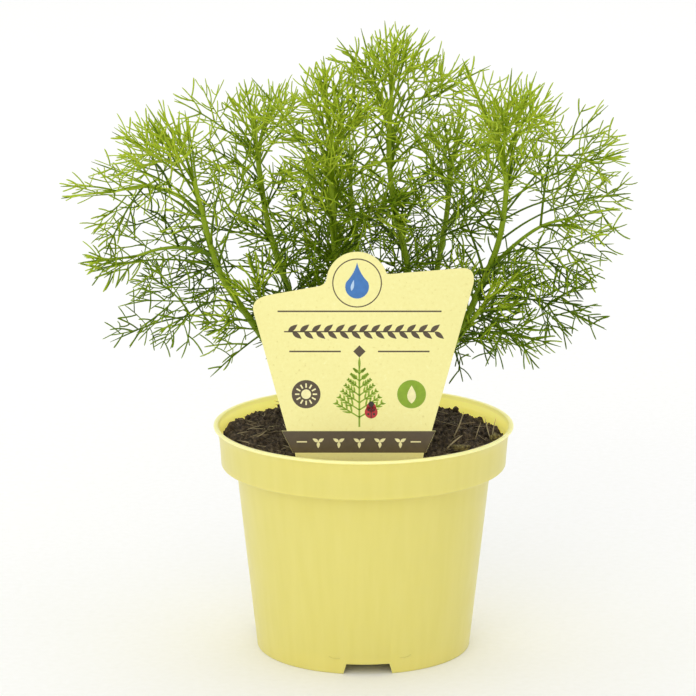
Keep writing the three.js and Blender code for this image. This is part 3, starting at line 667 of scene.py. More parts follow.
# From the stake's point up the right side, over the round head, and down the left side.
CARD_OUTLINE = [
    (0, 42), (7, 54), (7, 80), (22.4, 84), (23.4, 90.2), (24.1, 90.2), (27.9, 98.9), (26.4, 98.9),
    (42.3, 156.9), *curve_between((42.3, 156.9), (43.4, 163.2), (38, 163.1)), (11.4, 160.9),
    *curve_between((11.4, 160.9), (9.2, 160.6), (8.7, 161.1), 3),
    *arc(-2.7, 157.6, 11.9, math.degrees(0.3), math.degrees(3), 40),
    *curve_between((-14.48, 159.3), (-14.6, 156.6), (-18, 155.9), 6), (-36, 152.7),
    *curve_between((-36, 152.7), (-43.9, 151.4), (-42.9, 146.2)), (-30, 98.9), (-32, 98.9), (-27.7, 90.2),
    (-26.9, 90.2), (-26, 84), (-7, 80), (-7, 54),
]
outline = bpy.data.curves.new("label_card", "CURVE")
outline.dimensions = "2D"
outline.fill_mode = "BOTH"
outline.extrude = (CARD_THICK / 2 - CARD_EDGE) * MM
outline.bevel_depth = CARD_EDGE * MM
outline.bevel_resolution = 2
outline.offset = -CARD_EDGE * MM
spline = outline.splines.new("POLY")
spline.points.add(len(CARD_OUTLINE) - 1)
for point, (across, up) in zip(spline.points, CARD_OUTLINE):
    point.co = (across * MM, up * MM, 0, 1)
spline.use_cyclic_u = True
card = bpy.data.objects.new("label_card", outline)
bpy.context.scene.collection.objects.link(card)
take_up(card)
bpy.ops.object.convert(target="MESH")
card = bpy.context.object
edit_all()
bpy.ops.mesh.remove_doubles(threshold=0.005 * MM)
face_out()
card.data.transform(LABEL_PLACE @ Matrix.Translation((0, 0, CARD_THICK / 2 * MM)))
bpy.ops.object.shade_smooth_by_angle(angle=SMOOTH_ANGLE)


def disc(across, up, radius, steps=40):
    return arc(across, up, radius, 0, 360 * (steps - 1) / steps, steps - 1)


def ring(across, up, radius, wide, steps=48):
    """A thin printed circle, as short bars that meet."""
    circle = arc(across, up, radius, 0, 360, steps)
    return [bar(start, end, wide) for start, end in zip(circle, circle[1:])]


def bar(start, end, wide):
    """A printed line from one point to another."""
    run, rise = end[0] - start[0], end[1] - start[1]
    far = math.hypot(run, rise)
    side = (-rise / far * wide / 2, run / far * wide / 2)
    return [
        (start[0] - side[0], start[1] - side[1]), (end[0] - side[0], end[1] - side[1]),
        (end[0] + side[0], end[1] + side[1]), (start[0] + side[0], start[1] + side[1]),
    ]


def leaflet(across, up, long, wide, turn, steps=10):
    """A pointed oval that grows from a point; turn is in degrees from straight up, to the left."""
    way = math.radians(turn)
    points = []
    for step in range(2 * steps):
        share = step / steps if step <= steps else 2 - step / steps
        side = (1 if step <= steps else -1) * wide / 2 * math.sin(math.pi * share**0.8)
        rise = long * share
        points.append((
            across + side * math.cos(way) - rise * math.sin(way),
            up + side * math.sin(way) + rise * math.cos(way),
        ))
    return points


def drop(across, up, radius, tall):
    """A water drop whose round foot has its centre at a point."""
    round_end = math.radians(25)
    out, rise = radius * math.cos(round_end), up + radius * math.sin(round_end)
    tip = (across, up + tall)
    return [
        *arc(across, up, radius, 155, 385, 24),
        *curve_between((across + out, rise), (across + 0.2 * radius, up + 0.55 * tall), tip, 8),
        *curve_between(tip, (across - 0.2 * radius, up + 0.55 * tall), (across - out, rise), 8)[:-1],
    ]


def sprig(across, up, tall, wide):
    """A feathery twig: a stem, and pairs of branches with fine lobes that grow shorter towards the tip."""
    shapes = [bar((across, up), (across, up + tall), 0.7)]
    pairs = 7
    for pair in range(pairs):
        share = pair / (pairs - 1)
        foot = up + tall * (0.16 + 0.72 * share)
        long = wide * (1 - 0.72 * share)
        for side in (-1, 1):
            way = math.radians(38 - 10 * share)
            end = (across + side * long * math.sin(way + 0.35), foot + long * math.cos(way + 0.35))
            shapes.append(bar((across, foot), end, 0.55))
            for lobe in range(4):
                at = 0.3 + 0.2 * lobe
                root = (across + at * (end[0] - across), foot + at * (end[1] - foot))
                for turn in (12, 82):
                    size = long * (0.36 - 0.06 * lobe)
                    shapes.append(leaflet(*root, size, 0.75, -side * turn, 5))
    shapes.append(leaflet(across, up + tall - 1, 5, 1.0, 0, 5))
    return shapes


def printed(name, shapes, layer):
    """A piece of ink film: flat shapes, on the card's face or on an earlier layer."""
    corners = [corner for shape in shapes for corner in shape]
    firsts = np.cumsum([0] + [len(shape) for shape in shapes])
    faces = [tuple(range(first, last)) for first, last in zip(firsts, firsts[1:])]
    height = CARD_THICK + INK_THICK * (layer + 1)
    sheet = bpy.data.meshes.new(name)
    sheet.from_pydata([(across * MM, up * MM, height * MM) for across, up in corners], [], faces)
    film = bpy.data.objects.new(name, sheet)
    bpy.context.scene.collection.objects.link(film)
    take_up(film)
    edit_all()
    face_out()
    for face in sheet.polygons:
        if face.normal.z < 0:
            face.flip()
    sheet.transform(LABEL_PLACE)
    apply_modifier(film, "SOLIDIFY", thickness=INK_THICK * MM, offset=-1)
    return film


# The print's places: its middle line, the heights of its rows, and its two badges, at the same height.
MIDDLE = -1.8
TOP_RULE, GARLAND, LOW_RULE, BAND_ROW = 146.2, 138.2, 130.4, 94.6
BADGE_LEVEL, BADGE_RADIUS = 113.5, 5.6
SUN_PLACE, LEAF_PLACE = -22.5, 18.5
HEAD_MIDDLE = -2.7
rules = [
    bar((first, level), (last, level), 0.6)
    for first, last, level in ((-33.5, 30, TOP_RULE), (-29, -9, LOW_RULE), (5.4, 25.4, LOW_RULE))
]
garland = [bar((-31, GARLAND), (27.4, GARLAND), 0.5)]
for number in range(13):
    at = -29.4 + 4.6 * number
    garland += [leaflet(at, GARLAND, 4.6, 1.9, -52), leaflet(at + 1.6, GARLAND, 4.6, 1.9, -128)]
diamond = [[(MIDDLE - 2.4, LOW_RULE), (MIDDLE, 128), (MIDDLE + 2.4, LOW_RULE), (MIDDLE, 132.8)]]
foot_band = [[(-31.9, 98.85), (-27.65, 90.25), (24.05, 90.25), (27.8, 98.85)]]
badge = [disc(SUN_PLACE, BADGE_LEVEL, BADGE_RADIUS)]
sun = [disc(SUN_PLACE, BADGE_LEVEL, 1.9)] + [
    bar(
        (SUN_PLACE + 2.6 * math.cos(turn), BADGE_LEVEL + 2.6 * math.sin(turn)),
        (SUN_PLACE + 4.3 * math.cos(turn), BADGE_LEVEL + 4.3 * math.sin(turn)), 0.6,
    )
    for turn in (math.radians(30 * step) for step in range(12))
]
band_marks = [
    leaflet(at, BAND_ROW, 2.6, 1.3, turn) for at in (-17.8, -9.8, -1.8, 6.2, 14.2) for turn in (60, -60, 180)
] + [bar((at, BAND_ROW), (at + 4.0, BAND_ROW), 0.5) for at in (-26.2, 18.2)]
BEETLE = MIDDLE + 4.6
beetle = [disc(BEETLE, 106.4, 2.5), disc(BEETLE, 108.2, 1.9)]
beetle_marks = [bar((BEETLE, 103.9), (BEETLE, 108.6), 0.35)] + [
    disc(MIDDLE + across, up, radius)
    for across, up, radius in (
        (3.5, 105.6, 0.45), (5.7, 105.6, 0.45), (3.5, 107.3, 0.4), (5.7, 107.3, 0.4), (4.6, 109.6, 1.1)
    )
]
water = [drop(HEAD_MIDDLE, 155.8, 4.6, 9.6)]
gleam = [leaflet(-4.9, 154.2, 4.4, 1.2, -12)]
circle = ring(HEAD_MIDDLE, 157.3, 9.4, 0.45)
leaf_badge = [disc(LEAF_PLACE, BADGE_LEVEL, BADGE_RADIUS)]
# Each ink: its piece's name, its shapes, the layer that it is printed in, and its colour.
INKS = [
    ("label_print_brown", rules + garland + diamond + foot_band + badge + circle, 0, "#544733"),
    ("label_print_green", leaf_badge + sprig(MIDDLE, 100.5, 24, 11), 0, "#86a61c"),
    ("label_print_pale", band_marks + sun + [leaflet(LEAF_PLACE, 109.8, 7.2, 3.4, 0)], 1, "#f4ecb0"),
    ("label_print_blue", water, 0, "#3d76b8"),
    ("label_print_gleam", gleam, 1, "#b9d3ec"),
    ("label_print_red", beetle, 2, "#b5282c"),
    ("label_print_dark", beetle_marks, 3, "#2f241c"),
]

# Polypropylene card, printed pale yellow and coated: satin, with the faint paper-like speckle of its print.
card_plastic = start_material("coated_polypropylene_card")
place = add_node(card_plastic, "ShaderNodeTexCoord").outputs["Object"]
speckle = add_node(
    card_plastic, "ShaderNodeTexNoise",
    {"Vector": place, "Scale": 1 / (1.3 * MM), "Detail": 3.0, "Roughness": 0.6},
)
tone = add_node(
    card_plastic, "ShaderNodeValToRGB", {"Fac": speckle.outputs["Fac"]},
    stops=[(0.25, "#e3d98a"), (0.36, "#f3eb9c"), (0.66, "#f6efa2"), (0.78, "#fbf6b8")],
)
card_surface = add_node(
    card_plastic, "ShaderNodeBsdfPrincipled",
    {"Base Color": tone.outputs["Color"], "Roughness": 0.42, "IOR": 1.49},
)
add_node(card_plastic, "ShaderNodeOutputMaterial", {"Surface": card_surface.outputs["BSDF"]})
card.data.materials.append(card_plastic)
prints = []
for name, shapes, layer, colour in INKS:
    # Offset printing ink under the same satin coat, very slightly uneven in tone.
    ink = start_material(name.replace("label_print", "coated_ink"))
    place = add_node(ink, "ShaderNodeTexCoord").outputs["Object"]
    cloud = add_node(ink, "ShaderNodeTexNoise", {"Vector": place, "Scale": 1 / (2 * MM), "Detail": 4.0})
    shift = add_node(
        ink, "ShaderNodeMapRange",
        {"Value": cloud.outputs["Fac"], "From Min": 0.3, "From Max": 0.7, "To Min": 0.9, "To Max": 1.08},
    )
    hue = add_node(
        ink, "ShaderNodeHueSaturation", {"Value": shift.outputs["Result"], "Color": linear(colour)}
    )
    ink_surface = add_node(
        ink, "ShaderNodeBsdfPrincipled", {"Base Color": hue.outputs["Color"], "Roughness": 0.4, "IOR": 1.5}
    )
    add_node(ink, "ShaderNodeOutputMaterial", {"Surface": ink_surface.outputs["BSDF"]})
    film = printed(name, shapes, layer)
    film.data.materials.append(ink)
    prints.append(film)
for piece in (card, *prints):
    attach(piece, "root")
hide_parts("label")

# Shoots
# Nine rooted cuttings of southernwood, each a green, finely ridged stem with feathery leaves: a midrib,
# pinnae that point all ways, and thread-like lobes 0.6 to 0.8 mm wide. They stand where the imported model's
# shoots do: its midribs and pinnae are grown again here by the same rules, and carry the finer lobes.

# Each shoot: the seed of its draws, its extra leaves and its axil tufts as shares of its leaves, fan, the
# length in millimetres of the leaves at its tip, and fill, the share of finer pinnae that its leaves keep.
# Each stem: its points in millimetres, foot radius, number of leaves, share of it that is bare, and longest
# leaf. Each spray is a single leaf that stands out: its place along the stem, opening and angle round it
# (0 is left, 90 is towards the label, 180 is right) in degrees, and length.
SHOOTS = {
    "shoot_left": {
        "seed": 61111, "extra": 0.0, "tufts": 0.0, "fan": 34, "fill": 0.45,
        "stems": [
            ([(-14, 0, 64), (-15, 0, 86), (-27, -2, 108), (-43, -4, 132), (-57, -6, 155), (-64, -6, 180),
              (-67, -5, 192)], 1.8, 12, 0.35, 62),
            ([(-63.4, -6, 177), (-73, -9, 186), (-86, -11, 190), (-99, -12, 188)], 0.9, 3, 0.4, 36),
            ([(-59, -6, 161), (-69, -9, 165), (-80, -11, 165), (-91, -13, 162)], 0.9, 3, 0.45, 36),
        ],
        "sprays": [(0.6, 42, 150, 44), (0.52, 55, 190, 46), (0.68, 48, 205, 42)],
    },
    "shoot_middle_left": {
        "seed": 61932, "extra": 0.7, "tufts": 1.4, "fan": 36, "fill": 0.75,
        "stems": [
            ([(-4, 8, 64), (-5, 8, 86), (-8, 6, 128), (-12, 4, 171), (-13, 3, 208)], 2.2, 13, 0.38, 52),
        ],
        "sprays": [(0.86, 30, 0, 54), (0.8, 40, 200, 44), (0.5, 60, 60, 40)],
    },
    "shoot_middle_right": {
        "seed": 87049, "extra": 0.8, "tufts": 0.3, "fan": 37, "fill": 0.75,
        "stems": [
            ([(9, 12, 64), (10, 12, 86), (18, 14, 118), (18, 14, 150), (12, 14, 178), (10, 14, 202),
              (11, 14, 221)], 1.7, 13, 0.38, 52),
        ],
        "sprays": [(0.88, 48, 180, 48), (0.93, 34, 0, 38)],
    },
    "shoot_right": {
        "seed": 45058, "extra": 0.3, "tufts": 0.2, "fan": 32, "fill": 0.7,
        "stems": [
            ([(18, -2, 64), (19, -2, 86), (30, -4, 112), (44, -5, 143), (53, -5, 166), (56, -5, 188),
              (54, -4, 200)], 1.7, 12, 0.34, 64),
            ([(48.5, -5, 154), (58, -9, 165), (69, -12, 174), (80, -14, 178)], 0.9, 3, 0.4, 36),
        ],
        "sprays": [(0.75, 30, 180, 60), (0.55, 56, 10, 44), (0.68, 50, -15, 42), (0.5, 60, 165, 48)],
    },
    "shoot_back_left": {
        "seed": 86360, "extra": 0.7, "tufts": 0.8, "fan": 16, "fill": 0.7,
        "stems": [
            ([(-9, 22, 64), (-10, 22, 86), (-24, 30, 122), (-37, 38, 158), (-42, 41, 186), (-43, 42, 198)],
             1.7, 9, 0.38, 50),
        ],
        "sprays": [(0.6, 60, 0, 44), (0.48, 60, 25, 46)],
    },
    "shoot_back_right": {
        "seed": 85479, "extra": 0.4, "tufts": 0.5, "fan": 20, "fill": 0.7,
        "stems": [
            ([(13, 25, 64), (14, 25, 86), (25, 34, 124), (33, 42, 162), (36, 45, 190)], 1.7, 9, 0.38, 50),
        ],
        "sprays": [(0.6, 60, 180, 44), (0.5, 60, 150, 42)],
    },
    "shoot_back": {
        "seed": 11597, "extra": 0.8, "tufts": 0.3, "fan": 20, "fill": 0.8,
        "stems": [
            ([(1, 31, 64), (1, 31, 86), (0, 44, 122), (-3, 55, 156), (-5, 59, 172)], 1.7, 8, 0.4, 46),
        ],
        "sprays": [],
    },
    "shoot_low_left": {
        "seed": 61900, "extra": 0.9, "tufts": 0.2, "fan": 18, "fill": 0.85,
        "stems": [
            ([(-13, -14, 64), (-14, -14, 86), (-22, -18, 110), (-31, -22, 130), (-41, -25, 146)],
             1.5, 6, 0.55, 38),
        ],
        "sprays": [(0.85, 80, 20, 34), (0.7, 85, -10, 32)],
    },
    "shoot_low_right": {
        "seed": 46166, "extra": 0.6, "tufts": 0.2, "fan": 18, "fill": 0.7,
        "stems": [
            ([(16, -15, 64), (17, -15, 86), (25, -19, 110), (36, -23, 130), (47, -26, 146)],
             1.6, 6, 0.55, 40),
        ],
        "sprays": [(0.8, 85, 130, 26)],
    },
}
DOWN = np.array([0.0, 0.0, -1.0])


def cross(a, b):
    return np.array([a[1] * b[2] - a[2] * b[1], a[2] * b[0] - a[0] * b[2], a[0] * b[1] - a[1] * b[0]])


def curve_point(knots, share):
    """Point of a smooth curve through knots, at a share of the way."""
    spans = len(knots) - 1
    span = min(int(share * spans), spans - 1)
    local = share * spans - span
    padded = np.vstack([2 * knots[0] - knots[1], knots, 2 * knots[-1] - knots[-2]])
    before, start, end, after = padded[span : span + 4]
    leave, arrive = (end - before) / 2, (after - start) / 2
    a = 2 * start - 2 * end + leave + arrive
    b = 3 * end - 3 * start - 2 * leave - arrive
    return ((a * local + b) * local + leave) * local + start


def curve_heading(knots, share):
    """Direction of the same curve, at a share of the way."""
    before, after = max(share - 1e-4, 0.0), min(share + 1e-4, 1.0)
    return unit(curve_point(knots, after) - curve_point(knots, before))


def square_to(heading):
    """Two directions square to a heading and to each other."""
    guide = np.array([0.0, 1.0, 0.0]) if abs(heading[1]) < 0.9 else np.array([1.0, 0.0, 0.0])
    first = unit(cross(heading, guide))
    return first, unit(cross(heading, first))


def turned(first, second, angle):
    """Between two directions, by an angle from the first."""
    return math.cos(angle) * first + math.sin(angle) * second


def rolled(across, along, angle):
    """The plane of a pair, rolled about the growth that bears it: across it, and above it."""
    new = turned(across, cross(along, across), angle)
    return new, cross(along, new)


# Room for leaves: straight pieces of the plant so far, so that no leaf grows through another.
ROOM = 4000
room_starts, room_ends, room_radii = np.zeros((ROOM, 3)), np.zeros((ROOM, 3)), np.zeros(ROOM)
room_shoots, room_leaves = np.zeros(ROOM, int), np.zeros(ROOM, int)  # leaf 0 is a stem
taken = 0
RIB_MARGIN = (9, 119)  # millimetres behind the label, and above the table
LOBE_MARGIN = (1.5, 117)
EXTRA_MARGIN = (6, 118)
RIB_ROOM, LOBE_ROOM = 0.9, 0.75  # radius that a piece of midrib and a pinna keep free
SHOOT_GAP, LEAF_GAP = 0.5, 0.2  # clearance between shoots, and between the leaves of one shoot
LABEL_HALF, LABEL_TOP = 47, 176  # leaves keep behind the label up to here


def take_room(start, end, radius, shoot, leaf):
    global taken
    room_starts[taken], room_ends[taken], room_radii[taken] = start, end, radius
    room_shoots[taken], room_leaves[taken] = shoot, leaf
    taken += 1


def distances_between(start, end):
    """Distances from one straight piece to all the others."""
    first, second, offset = end - start, room_ends[:taken] - room_starts[:taken], start - room_starts[:taken]
    first_squared, second_squared = first @ first, (second * second).sum(1)
    product, ahead, beside = second @ first, offset @ first, (second * offset).sum(1)
    slope = first_squared * second_squared - product * product
    flat = slope < 1e-9
    lead = product * beside - ahead * second_squared
    along = np.where(flat, 0.0, np.clip(lead / np.where(flat, 1.0, slope), 0, 1))
    share = np.clip((product * along + beside) / second_squared, 0, 1)
    along = np.clip((product * share - ahead) / first_squared, 0, 1)
    gap = offset + first * along[:, None] - second * share[:, None]
    return np.sqrt((gap * gap).sum(1))


def distances_to(point):
    """Distances from a point to all the pieces."""
    along, offset = room_ends[:taken] - room_starts[:taken], point - room_starts[:taken]
    share = np.clip((offset * along).sum(1) / (along * along).sum(1), 0, 1)
    gap = offset - along * share[:, None]
    return np.sqrt((gap * gap).sum(1))


def in_bounds(start, end, margin):
    """Whether a piece stays behind the label and well over the compost."""
    for point in ((start + end) / 2, end):
        back = LABEL_FRONT + (point[2] - LABEL_LEVEL) * math.tan(math.radians(LABEL_LEAN)) + margin[0]
        beside = abs(point[0]) < LABEL_HALF and point[2] < LABEL_TOP
        if point[2] < margin[1] or (beside and point[1] < back):
            return False
    return True


def is_clear(start, end, radius, shoot, leaf, rooted):
    """Whether a piece keeps off the other shoots and, unless it is rooted in its stem, off other leaves."""
    reach = room_radii[:taken] + radius
    gaps = distances_between(start, end)
    other_shoot = room_shoots[:taken] != shoot
    if (other_shoot & (gaps < reach + SHOOT_GAP)).any():
        return False
    if rooted:
        return True
    same = ~other_shoot & (room_leaves[:taken] > 0)
    joined = (room_leaves[:taken] == leaf) & (distances_to(start) < 2)
    return not (same & ~joined & (gaps < reach + LEAF_GAP)).any()


STRETCHES = (0.2, 0.2, 0.28, 0.32)  # a midrib's four straight stretches, as shares of its length
LEAF_TURN = math.radians(137.5)
LIT_HEIGHT = 185  # millimetres: shoots that reach it have leaves in full light
MAIN_STEM = 1.4  # stems thicker than this end in a rosette of leaves
TURNS = (0, 1, -1, 2, -2, 3, -3, 4, -4, 6, -6, 8, -8, 10, -10)  # tried in this order, in steps
TURN_STEP = math.radians(14)
leaf_count = 0


def midrib_points(root, heading, long, sag):
    """A midrib's ends and joints, as it sags a little at each joint."""
    points = [root]
    for share in STRETCHES:
        points.append(points[-1] + heading * (share * long))
        heading = unit(heading + DOWN * sag)
    return points


def leaf_outward(root, along, angle):
    """Away from the stem, and towards the light outside the clump."""
    first, second = square_to(along)
    away = (root - np.array([0.0, 12.0, 0.0])) * (1, 1, 0)
    outward = turned(first, second, angle) + 0.012 * away
    return unit(outward - along * (outward @ along))


def painted_light_level(knots):
    """Painted shade on a shoot's leaves: a low shoot stands in the shade, so its leaves are painted darker up
    to its tip.
    """
    return min(1.0, knots[-1][2] / LIT_HEIGHT)


def new_leaf(knots, at, points, outward, long, young, number=0):
    """A leaf as the growing functions pass it on: its midrib, its face, and what it bears."""
    return {
        "points": points, "outward": outward, "long": long, "young": young, "number": number,
        # Its age: its place up the stem, times the painted shade that darkens the leaves of a low shoot.
        "age": at * painted_light_level(knots), "pinnae": [], "roll": None,
    }


def plant_leaf(shoot, knots, at, opening, angle, long, sag, young):
    """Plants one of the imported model's leaves, turned round its stem until its midrib is clear."""
    global leaf_count
    along, root = curve_heading(knots, at), curve_point(knots, at)
    for turn in TURNS:
        outward = leaf_outward(root, along, angle + turn * TURN_STEP)
        points = midrib_points(root, turned(along, outward, opening), long, sag)
        pieces = list(zip(points, points[1:]))
        if all(
            in_bounds(start, end, RIB_MARGIN)
            and is_clear(start, end, RIB_ROOM, shoot, leaf_count + 1, index == 0)
            for index, (start, end) in enumerate(pieces)
        ):
            leaf_count += 1
            for start, end in pieces:
                take_room(start, end, RIB_ROOM, shoot, leaf_count)
            return new_leaf(knots, at, points, outward, long, young, leaf_count)
    return None


def leaves_of(shoot, stem, random):
    """A stem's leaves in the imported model: a spiral that closes towards the tip, and young leaves on top."""
    points, radius, count, bare, longest = stem
    knots = np.array(points, float)
    planted = []
    angle = next(random) * 2 * math.pi
    for number in range(count):
        share = number / (count - 1)
        at = bare + (0.95 - bare) * share
        opening = math.radians(66 - 26 * share + 8 * (next(random) - 0.5))
        full = longest * (0.84 + 0.26 * next(random))
        long = full * (1 - 0.35 * share**3)
        angle += LEAF_TURN + 0.3 * (next(random) - 0.5)
        sag = 0.2 * (1.15 - 0.75 * share)
        planted.append(plant_leaf(shoot, knots, at, opening, angle, long, sag, False))
    for number in range(3 if radius > MAIN_STEM else 1):
        long = longest * (0.52 + 0.18 * next(random))
        angle += LEAF_TURN
        opening = math.radians(14 + 13 * number)
        planted.append(plant_leaf(shoot, knots, 0.99 - 0.02 * number, opening, angle, long, 0.03, True))
    return [leaf for leaf in planted if leaf]


def grow_pinna(shoot, leaf, start, heading, above, long, forks, random, level):
    """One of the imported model's pinnae, or a lobe of one, which takes its room if that is free."""
    end = start + heading * long
    inside = in_bounds(start, end, LOBE_MARGIN)
    across = unit(cross(above, heading))
    top = cross(heading, across)
    if level == 1:
        leaf["pinnae"].append((start, heading, top, long) if inside else None)
    if not inside or not is_clear(start, end, LOBE_ROOM, shoot, leaf["number"], False):
        return
    take_room(start, end, LOBE_ROOM, shoot, leaf["number"])
    if forks:
        root = start + heading * (0.45 * long)
        across, top = rolled(across, heading, math.radians(60 + 40 * (next(random) - 0.5)))
        above_root = root + heading * 1.5
        grow_pair(shoot, leaf, root, above_root, across, top, 0.5 * long, 42, False, random, level + 1)


def grow_pair(shoot, leaf, start, end, across, above, long, spread, forks, random, level):
    """Two pinnae or lobes that stand opposite each other."""
    along, root = unit(end - start), (start + end) / 2
    for side in (-1, 1):
        angle = math.radians(spread + 14 * (next(random) - 0.5))
        lift = 0.3 * (next(random) - 0.35)
        reach = long * (0.85 + 0.3 * next(random))
        aside = turned(across * side, above, lift)
        grow_pinna(shoot, leaf, root, turned(along, aside, angle), above, reach, forks, random, level)


def upper_side(leaf):
    """Roughly the way that a leaf's upper face looks: it only fixes the sense of its width."""
    return -0.6 * leaf["outward"] - DOWN


def fill_leaf(shoot, leaf, random):
    """Grows a leaf's pairs of pinnae: joint of the midrib, and degrees, reach and whether they fork."""
    pairs = {2: (34, 0.45, False)} if leaf["young"] else {2: (58, 0.47, True), 3: (46, 0.27, False)}
    roll = math.radians(80 * (next(random) - 0.5))
    leaf["roll"] = roll
    for joint, (spread, reach, forks) in pairs.items():
        start = leaf["points"][joint]
        along = unit(leaf["points"][joint + 1] - start)
        across, above = rolled(unit(cross(upper_side(leaf), along)), along, roll)
        roll += math.radians(55 + 40 * (next(random) - 0.5))
        end = start + along * 1.5
        grow_pair(shoot, leaf, start, end, across, above, leaf["long"] * reach, spread, forks, random, 1)


# The stems take their room first, then the midribs of all the shoots, and then their pinnae. A shoot's
# midribs, pinnae and finer growth have draws of their own.
STEM_PIECES = 16
PINNA_SEED, FINER_SEED = 1000, 2000
for shoot, growth in enumerate(SHOOTS.values()):
    for points, radius, *_ in growth["stems"]:
        knots = np.array(points, float)
        line = [curve_point(knots, step / STEM_PIECES) for step in range(STEM_PIECES + 1)]
        for start, end in zip(line, line[1:]):
            take_room(start, end, radius, shoot, 0)
planned = []
for shoot, growth in enumerate(SHOOTS.values()):
    random = draws(growth["seed"])
    planned.append([leaf for stem in growth["stems"] for leaf in leaves_of(shoot, stem, random)])
for shoot, growth in enumerate(SHOOTS.values()):
    random = draws(growth["seed"] + PINNA_SEED)
    for leaf in planned[shoot]:
        fill_leaf(shoot, leaf, random)

# Finer growth: every pinna bears pairs of lobes, and long lobes bear lobes again. Each curves forward,
# towards the way its bearer grows.
LOBE_WIDE = 0.76
LOBE_STEP = 9.5  # millimetres between pairs on a pinna
LEAST_FORKED = 11  # shorter lobes bear none
FLATNESS = 0.7  # a lobe's thickness, as a share of its width
SPRAY_SAG, SPRAY_FILL = 0.08, 0.5
MIDRIB_SHARES = np.cumsum((0,) + STRETCHES)
STATIONS = [(0.40, 58, 0.47), (0.54, 55, 0.36), (0.68, 50, 0.27), (0.82, 46, 0.18)]  # share, degrees, reach
YOUNG_STATIONS = [(0.32, 46, 0.46), (0.45, 40, 0.45), (0.60, 42, 0.3), (0.76, 40, 0.2)]


def feather(rows, start, heading, top, long, wide, bearer, age, random, level):
    """Adds a pinna or lobe to the rows, and then its own lobes. Bearer is the way its bearer grows."""
    side_way = cross(top, heading)
    forward = 1 if bearer @ side_way > 0 else -1
    sway = forward * (0.08 + 0.3 * next(random))
    bend = 0.26 * (next(random) - 0.4)
    rows.append((start, heading, top, long, wide * (0.8 + 0.4 * next(random)), bend, sway, age, level))
    if long < LEAST_FORKED or level > 3:
        return
    pairs, first = (max(1, round(long / LOBE_STEP)), 0.32) if level == 1 else (2 if long > 16 else 1, 0.4)
    roll = math.radians(60 + 40 * (next(random) - 0.5))
    for pair in range(pairs):
        at = first + (0.74 - first) * pair / (pairs - 1) if pairs > 1 else 0.52
        for side in (-1, 1):
            here = at + 0.06 * (next(random) - 0.5) + 0.05 * side
            point = start + long * (heading * here + top * (bend * here**2) + side_way * (sway * here**2))
            along = unit(heading + top * (2 * bend * here) + side_way * (2 * sway * here))
            across, above = rolled(unit(cross(top, along)), along, roll)
            lift = 0.5 * (next(random) - 0.4)
            spread = math.radians(58 + 20 * (next(random) - 0.5) - 20 * pair / pairs)
            reach = long * 0.6 * (1 - here) ** 0.5 * (0.7 + 0.6 * next(random)) + 2.5
            way = turned(along, turned(across * side, above, lift), spread)
            new_top = unit(cross(way, cross(above, way)))
            feather(rows, point, way, new_top, reach, wide * 0.94, along, age, random, level + 1)
        roll += math.radians(55 + 40 * (next(random) - 0.5))


def feather_leaf(ribs, rows, leaf, fill, random):
    """A leaf's midrib, and pinnae at all its stations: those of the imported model, and others between."""
    knots, long = np.array(leaf["points"]), leaf["long"]
    stations = YOUNG_STATIONS if leaf["young"] else STATIONS
    if long < 24 and not leaf["young"]:
        stations = STATIONS[:3] if long > 14 else STATIONS[1:2]
    given = {0.45: leaf["pinnae"]} if leaf["young"] else {0.40: leaf["pinnae"][:2], 0.68: leaf["pinnae"][2:]}
    ribs.append((knots, leaf["age"], upper_side(leaf)))
    roll = leaf["roll"]
    if roll is None:
        roll = math.radians(80 * (next(random) - 0.5))
    for station, spread, reach in stations:
        for number, side in enumerate((-1, 1)):
            if given.get(station):
                pinna = given[station][number]
                if pinna:
                    along = curve_heading(knots, float(np.interp(station, MIDRIB_SHARES, np.arange(5) / 4)))
                    feather(rows, *pinna, LOBE_WIDE, along, leaf["age"], random, 1)
                continue
            share = station + 0.03 * (next(random) - 0.5)
            at = float(np.interp(share, MIDRIB_SHARES, np.arange(5) / 4))
            point, along = curve_point(knots, at), curve_heading(knots, at)
            across, above = rolled(unit(cross(upper_side(leaf), along)), along, roll)
            angle = math.radians(spread + 14 * (next(random) - 0.5))
            lift = 0.3 * (next(random) - 0.35)
            length = long * reach * (0.85 + 0.3 * next(random))
            way = turned(along, turned(across * side, above, lift), angle)
            if next(random) < fill and in_bounds(point, point + way * length, LOBE_MARGIN):
                top = unit(cross(way, cross(above, way)))
                feather(rows, point, way, top, length, LOBE_WIDE, along, leaf["age"], random, 1)
        roll += math.radians(55 + 40 * (next(random) - 0.5))


def extra_leaf(knots, at, opening, angle, long, sag, young=False):
    """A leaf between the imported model's ones, or none where it would come out in front of the label."""
    along, root = curve_heading(knots, at), curve_point(knots, at)
    outward = leaf_outward(root, along, angle)
    points = midrib_points(root, turned(along, outward, opening), long, sag)
    if not all(in_bounds(start, end, EXTRA_MARGIN) for start, end in zip(points, points[1:])):
        return None
    return new_leaf(knots, at, points, outward, long, young)


